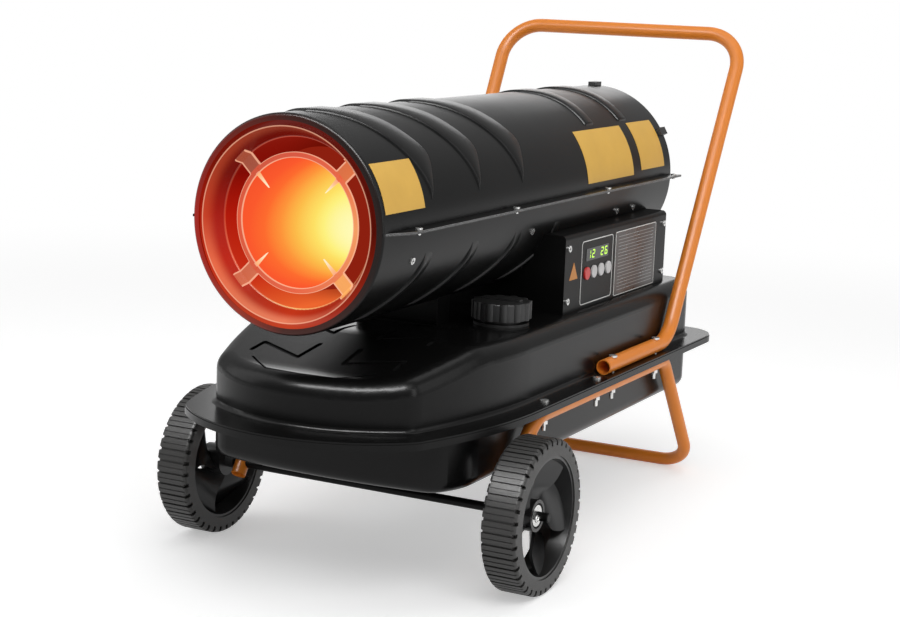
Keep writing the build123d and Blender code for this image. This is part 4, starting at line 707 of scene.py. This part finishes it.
def barrel_plate(name, y0, y1, angle0, angle1, thickness):
    """A thin plate bent onto the barrel between two places along it and two angles from its top, in degrees."""
    shell = CASING_R * MM + PLATE_LIFT
    arc0, arc1 = math.radians(angle0) * shell, math.radians(angle1) * shell
    bm = bmesh.new()
    bmesh.ops.create_grid(bm, x_segments=2, y_segments=24, size=0.5)
    bmesh.ops.scale(bm, verts=bm.verts, vec=((y1 - y0) * MM, arc1 - arc0, 1))
    bmesh.ops.translate(bm, verts=bm.verts, vec=((y0 + y1) / 2 * MM + AXLE_Y, (arc0 + arc1) / 2, 0))
    thicken(bm, bm.faces, thickness)
    wrap_on_barrel(bm, shell)
    bmesh.ops.recalc_face_normals(bm, faces=bm.faces)
    add_piece(name, bm, "base", ["plate_yellow"])


def place_on_panel(bm, y, z, front=0.0):
    """Turns a shape drawn in XY so that it faces +X on the panel: its x runs to the rear, its y up."""
    turn = Matrix(((0, 0, 1, 0), (1, 0, 0, 0), (0, 1, 0, 0), (0, 0, 0, 1)))
    place = at(0, y, z)
    place.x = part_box("control_panel")[1].x + front
    bmesh.ops.transform(bm, matrix=Matrix.Translation(place) @ turn, verts=bm.verts)


def finish_on_panel(name, bm, y, z, depth, material):
    """Gives a flat shape its depth and sets it on the control panel."""
    thicken(bm, bm.faces, depth)
    place_on_panel(bm, y, z, PANEL_LIFT)
    bmesh.ops.recalc_face_normals(bm, faces=bm.faces)
    add_piece(name, bm, "base", [material])


def rectangle_on_panel(name, y0, y1, z0, z1, radius, depth, material, line=None):
    """A flat rounded rectangle on the control panel, or only its frame line of a given width."""
    bm = bmesh.new()
    bmesh.ops.create_grid(bm, x_segments=1, y_segments=1, size=0.5)
    bmesh.ops.scale(bm, verts=bm.verts, vec=((y1 - y0) * MM, (z1 - z0) * MM, 1))
    round_corners(bm, radius, 6)
    if line:
        rim = set(bmesh.ops.inset_region(bm, faces=list(bm.faces), thickness=line, use_even_offset=True,
                                         use_boundary=True)["faces"])
        bmesh.ops.delete(bm, geom=[f for f in bm.faces if f not in rim], context="FACES")
    finish_on_panel(name, bm, (y0 + y1) / 2, (z0 + z1) / 2, depth, material)


SEAM_SCREW_X = 0.14585       # from the middle of the heater
SHELL_SCREW_ANGLE = 107     # degrees from the barrel's top
SHELL_SCREW_HEAD = 0.0022   # above the casing
RECESS = (0.0052, 0.0011, 0.0003)
SEGMENTS = {"1": "bc", "2": "abged", "6": "afgedc"}


def digit(bm, figure, x, height):
    """One seven-segment figure, drawn in XY with its lower left corner at (x, 0)."""
    width, bar = height * 0.78, height * 0.15
    half = height / 2
    place = {"a": (width / 2, height - bar / 2, 0), "g": (width / 2, half, 0), "d": (width / 2, bar / 2, 0),
             "f": (bar / 2, half * 1.5, 1), "b": (width - bar / 2, half * 1.5, 1), "e": (bar / 2, half / 2, 1),
             "c": (width - bar / 2, half / 2, 1)}
    for segment in SEGMENTS[figure]:
        cx, cy, upright = place[segment]
        size = (bar, half - bar * 0.9) if upright else (width - bar * 1.5, bar)
        lean = height * 0.09 * (cy / height - 0.5)
        add_block(bm, (size[0], size[1], 0.0002), Matrix.Translation((x + cx + lean, cy, 0.0001)))


class HEATER_OT_finishes(bpy.types.Operator):
    """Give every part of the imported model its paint, metal, rubber or plastic."""
    bl_idname = "heater.finishes"
    bl_label = "Finishes"

    def execute(self, context):
        make_materials(context.scene)
        for material, names in NODE_FINISH.items():
            for node in names:
                dress(node, material)
        return {"FINISHED"}


class HEATER_OT_casing(bpy.types.Operator):
    """Press the two halves of the barrel's casing, with swept ribs, bands and side flanges."""
    bl_idname = "heater.casing"
    bl_label = "Casing"

    def execute(self, context):
        half_casing("upper_casing", "upper_shell", True)
        half_casing("lower_casing", "lower_shell", False)
        return {"FINISHED"}


class HEATER_OT_plates(bpy.types.Operator):
    """Put the bare yellow plates on the barrel."""
    bl_idname = "heater.plates"
    bl_label = "Barrel plates"

    def execute(self, context):
        thickness = context.scene.heater_trim.plate_thickness
        barrel_plate("outlet_plate", -205, -108, 53, 80, thickness)
        barrel_plate("side_plate", 388, 562, 51, 85, thickness)
        barrel_plate("rear_plate", 594, 690, 50, 83, thickness)
        return {"FINISHED"}


class HEATER_OT_panel(bpy.types.Operator):
    """Dress the control panel: outlines, ruled overlay, amber mark and figures, and all the screws' recesses."""
    bl_idname = "heater.panel"
    bl_label = "Control panel"

    def execute(self, context):
        trim = context.scene.heater_trim
        depth = trim.overlay_thickness
        rectangle_on_panel("key_overlay_line", 317, 431, 318, 410, 0.006, depth, "overlay_white",
                           line=0.0013)
        rectangle_on_panel("data_overlay", 442, 600, 316, 410, 0.003, depth, "overlay_grey")
        rectangle_on_panel("data_overlay_line", 441, 601, 315, 411, 0.003, depth * 1.2, "overlay_white",
                           line=0.0012)
        self.rules(depth)
        self.mark()
        self.recesses()
        self.figures(trim.digit_height)
        return {"FINISHED"}

    def rules(self, depth):
        """Plain ruled lines across the overlay."""
        bm = bmesh.new()
        for i in range(17):
            add_block(bm, (0.138, 0.0009, 0.0001), Matrix.Translation((0, (40 - 5 * i) * MM, 0)))
        place_on_panel(bm, 521, 363, depth + 0.00006)
        add_piece("data_rules", bm, "base", ["pale_rule"])

    def figures(self, height):
        """The display's plain numbers, on the window's face."""
        bm = bmesh.new()
        for figures, start in (("12", 339), ("26", 385)):
            for index, figure in enumerate(figures):
                digit(bm, figure, (start - 375 + index * 14.5) * MM, height)
        place_on_panel(bm, 375, 383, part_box("display_window")[1].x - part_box("control_panel")[1].x)
        add_piece("display_figures", bm, "base", ["lit_digit"])

    def mark(self):
        """A bare amber plate with three rounded corners, left of the display."""
        bm = bmesh.new()
        bmesh.ops.create_circle(bm, cap_ends=True, segments=3, radius=0.0165)
        first = next(iter(bm.verts)).co
        upright = 90.0 - math.degrees(math.atan2(first.y, first.x))
        bmesh.ops.rotate(bm, verts=bm.verts, cent=(0, 0, 0), matrix=Matrix.Rotation(math.radians(upright), 3, "Z"))
        round_corners(bm, 0.0014, 4)
        finish_on_panel("amber_mark", bm, 290.5, 367.5, 0.0004, "amber_plate")

    def recesses(self):
        """Dark cross recesses in the heads of the panel's, the seams' and the shell's screws."""
        bm = bmesh.new()
        panel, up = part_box("panel_screws")[1].x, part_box("seam_screws")[1].z
        heads = [(Vector((panel, at(0, y, 0).y, z * MM)), Vector((1, 0, 0))) for y in (272, 634) for z in (330, 405)]
        for side in (1, -1):
            heads += [(Vector((side * SEAM_SCREW_X, at(0, y, 0).y, up)), Vector((0, 0, 1)))
                      for y in (-145, 125, 436, 704)]
            turn = math.radians(SHELL_SCREW_ANGLE * side)
            out = Vector((math.sin(turn), 0, math.cos(turn)))
            reach = out * (CASING_R * MM + SHELL_SCREW_HEAD)
            heads += [(at(0, y, SEAM_Z) + reach, out) for y in (-130, 212, 513, 577)]
        for place, out in heads:
            turn = out.to_track_quat("Z", "Y").to_matrix().to_4x4()
            for size in (RECESS, (RECESS[1], RECESS[0], RECESS[2])):
                add_block(bm, size, Matrix.Translation(place) @ turn)
        add_piece("screw_recesses", bm, "base", ["dark_bolt"])


# ---------------------------------------------------------------- stage
WHITE_FROM_TO = (0.9, 3.2)      # the floor fades to plain white between these distances from the heater
STUDIO_WALLS = ((0.0, 0.30), (0.17, 0.45), (0.33, 0.45), (0.50, 0.60), (1.0, 0.60))     # height, grey


def floor_material(stage):
    """A pale floor that keeps the heater's shadow; the camera and shiny surfaces see it as white."""
    material = bpy.data.materials.new("studio_floor")
    material.use_nodes = True
    tree = material.node_tree
    matt = tree.nodes["Principled BSDF"]
    matt.inputs["Base Color"].default_value = rgba(stage.floor)
    matt.inputs["Roughness"].default_value = 0.7
    matt.inputs["Specular IOR Level"].default_value = 0.2
    path = add_node(tree, "LightPath").outputs
    clear = math_node(tree, "MAXIMUM", path["Is Camera Ray"], path["Is Transmission Ray"])
    clear = math_node(tree, "MAXIMUM", clear, path["Is Glossy Ray"])
    white = add_node(tree, "Emission", {"Strength": math_node(tree, "MULTIPLY", clear, stage.floor_white)})
    both = add_node(tree, "AddShader", {0: matt.outputs["BSDF"], 1: white.outputs["Emission"]})
    away = add_node(tree, "VectorMath", {0: own_place(tree)}, operation="LENGTH")
    fade = share_between(tree, away.outputs["Value"], *WHITE_FROM_TO)
    plain = add_node(tree, "Emission")
    mix = add_node(tree, "MixShader", {"Fac": math_node(tree, "MULTIPLY", fade, clear), 1: both.outputs["Shader"],
                                       2: plain.outputs["Emission"]})
    tree.links.new(mix.outputs["Shader"], tree.nodes["Material Output"].inputs["Surface"])
    return material


# Name, place, size in metres, and power as a share of the key lamp.
LAMPS = (("key", (1.3, -1.6, 2.4), (2.2, 1.4), 1.0), ("left", (-2.3, -0.9, 1.5), (1.4, 2.2), 0.5),
         ("top", (0.1, 0.1, 2.6), (1.2, 2.6), 0.55), ("right", (2.6, 0.6, 1.3), (1.2, 2.0), 0.4),
         ("strip_top", (0.15, -1.6, 1.95), (2.4, 0.4), 4.5), ("strip_right", (2.4, -0.85, 1.0), (0.5, 1.5), 0.4),
         ("strip_back", (-1.15, 2.45, 1.15), (1.6, 1.0), 0.36))
LAMP_AIM = Vector((0, 0, 0.35))
CAMERA_TARGET = at(34.24, 160.0, 322.08)


class HEATER_OT_stage(bpy.types.Operator):
    """Make the floor, the lamps, the world and the camera."""
    bl_idname = "heater.stage"
    bl_label = "Stage"

    def execute(self, context):
        stage = context.scene.heater_stage
        self.make_floor(stage)
        self.make_world(context.scene, stage)
        self.make_lamps(stage)
        self.make_camera(context.scene, stage)
        context.scene.view_settings.view_transform = "Standard"
        return {"FINISHED"}

    def make_floor(self, stage):
        bm = bmesh.new()
        bmesh.ops.create_circle(bm, cap_ends=True, segments=96, radius=30.0)
        mesh = bpy.data.meshes.new("floor")
        bm.to_mesh(mesh)
        bm.free()
        floor = bpy.data.objects.new("floor", mesh)
        bpy.context.scene.collection.objects.link(floor)
        mesh.materials.append(floor_material(stage))

    def make_world(self, scene, stage):
        """Even light for rough surfaces, a soft studio for shiny ones, and plain white for the camera."""
        world = bpy.data.worlds.new("studio")
        world.use_nodes = True
        tree = world.node_tree
        even = tree.nodes["Background"]
        even.inputs["Color"].default_value = (1, 1, 1, 1)
        even.inputs["Strength"].default_value = stage.fill
        place = add_node(tree, "TexCoord").outputs["Generated"]
        height = add_node(tree, "SeparateXYZ", {"Vector": place}).outputs["Z"]
        walls = ramp_colour(tree, height, [(z, (grey, grey, grey)) for z, grey in STUDIO_WALLS])
        studio = add_node(tree, "Background", {"Color": walls})
        seen = add_node(tree, "Background", {"Color": (1, 1, 1, 1), "Strength": 1.0})
        path = add_node(tree, "LightPath").outputs
        shiny = add_node(tree, "MixShader", {"Fac": path["Is Glossy Ray"], 1: even.outputs["Background"],
                                             2: studio.outputs["Background"]})
        clear = math_node(tree, "MAXIMUM", path["Is Camera Ray"], path["Is Transmission Ray"])
        mix = add_node(tree, "MixShader", {"Fac": clear, 1: shiny.outputs["Shader"], 2: seen.outputs["Background"]})
        tree.links.new(mix.outputs["Shader"], tree.nodes["World Output"].inputs["Surface"])
        scene.world = world

    def make_lamps(self, stage):
        """Soft boxes. The strips only make highlights."""
        for name, place, size, share in LAMPS:
            light = bpy.data.lights.new(name, "AREA")
            light.shape = "RECTANGLE"
            light.size, light.size_y = size
            light.energy = stage.key * share
            lamp = bpy.data.objects.new(name, light)
            lamp.location = place
            lamp.rotation_mode = "QUATERNION"
            lamp.rotation_quaternion = (LAMP_AIM - Vector(place)).to_track_quat("-Z", "Y")
            lamp.visible_diffuse = not name.startswith("strip")
            bpy.context.scene.collection.objects.link(lamp)

    def make_camera(self, scene, stage):
        data = bpy.data.cameras.new("photo_view")
        data.sensor_width = 36.0
        data.lens = stage.lens
        data.clip_end = 100
        camera = bpy.data.objects.new("photo_view", data)
        scene.collection.objects.link(camera)
        azimuth, elevation, roll = stage.azimuth, stage.elevation, stage.roll
        back = Vector((math.sin(azimuth) * math.cos(elevation), -math.cos(azimuth) * math.cos(elevation),
                       math.sin(elevation)))
        right = Vector((math.cos(azimuth), math.sin(azimuth), 0))
        up = back.cross(right)
        turned_right = math.cos(roll) * right + math.sin(roll) * up
        turned_up = math.cos(roll) * up - math.sin(roll) * right
        turn = Matrix((turned_right, turned_up, back)).transposed()
        camera.rotation_mode = "QUATERNION"
        camera.rotation_quaternion = turn.to_quaternion()
        camera.location = CAMERA_TARGET + back * stage.distance
        scene.camera = camera


class HEATER_PT_panel(bpy.types.Panel):
    """Lists the heater's operators."""
    bl_idname = "HEATER_PT_panel"
    bl_label = "Forced Air Heater"
    bl_space_type = "VIEW_3D"
    bl_region_type = "UI"
    bl_category = "Heater"

    def draw(self, context):
        for operator in OPERATORS:
            self.layout.operator(operator.bl_idname)
        for group in ("heater_stage", "heater_finish", "heater_trim"):
            box = self.layout.box()
            settings = getattr(context.scene, group)
            for name in settings.__annotations__:
                box.prop(settings, name)


OPERATORS = (HEATER_OT_finishes, HEATER_OT_casing, HEATER_OT_plates, HEATER_OT_panel, HEATER_OT_stage)
SETTINGS = {"heater_stage": HeaterStage, "heater_finish": HeaterFinish, "heater_trim": HeaterTrim}


def register():
    for name, group in SETTINGS.items():
        bpy.utils.register_class(group)
        setattr(bpy.types.Scene, name, PointerProperty(type=group))
    for cls in OPERATORS + (HEATER_PT_panel,):
        bpy.utils.register_class(cls)


def unregister():
    for cls in reversed(OPERATORS + (HEATER_PT_panel,)):
        bpy.utils.unregister_class(cls)
    for name, group in SETTINGS.items():
        delattr(bpy.types.Scene, name)
        bpy.utils.unregister_class(group)


def main():
    register()
    bpy.ops.heater.finishes()
    bpy.ops.heater.casing()
    bpy.ops.heater.plates()
    bpy.ops.heater.panel()
    bpy.ops.heater.stage()


if __name__ == "__main__":
    main()
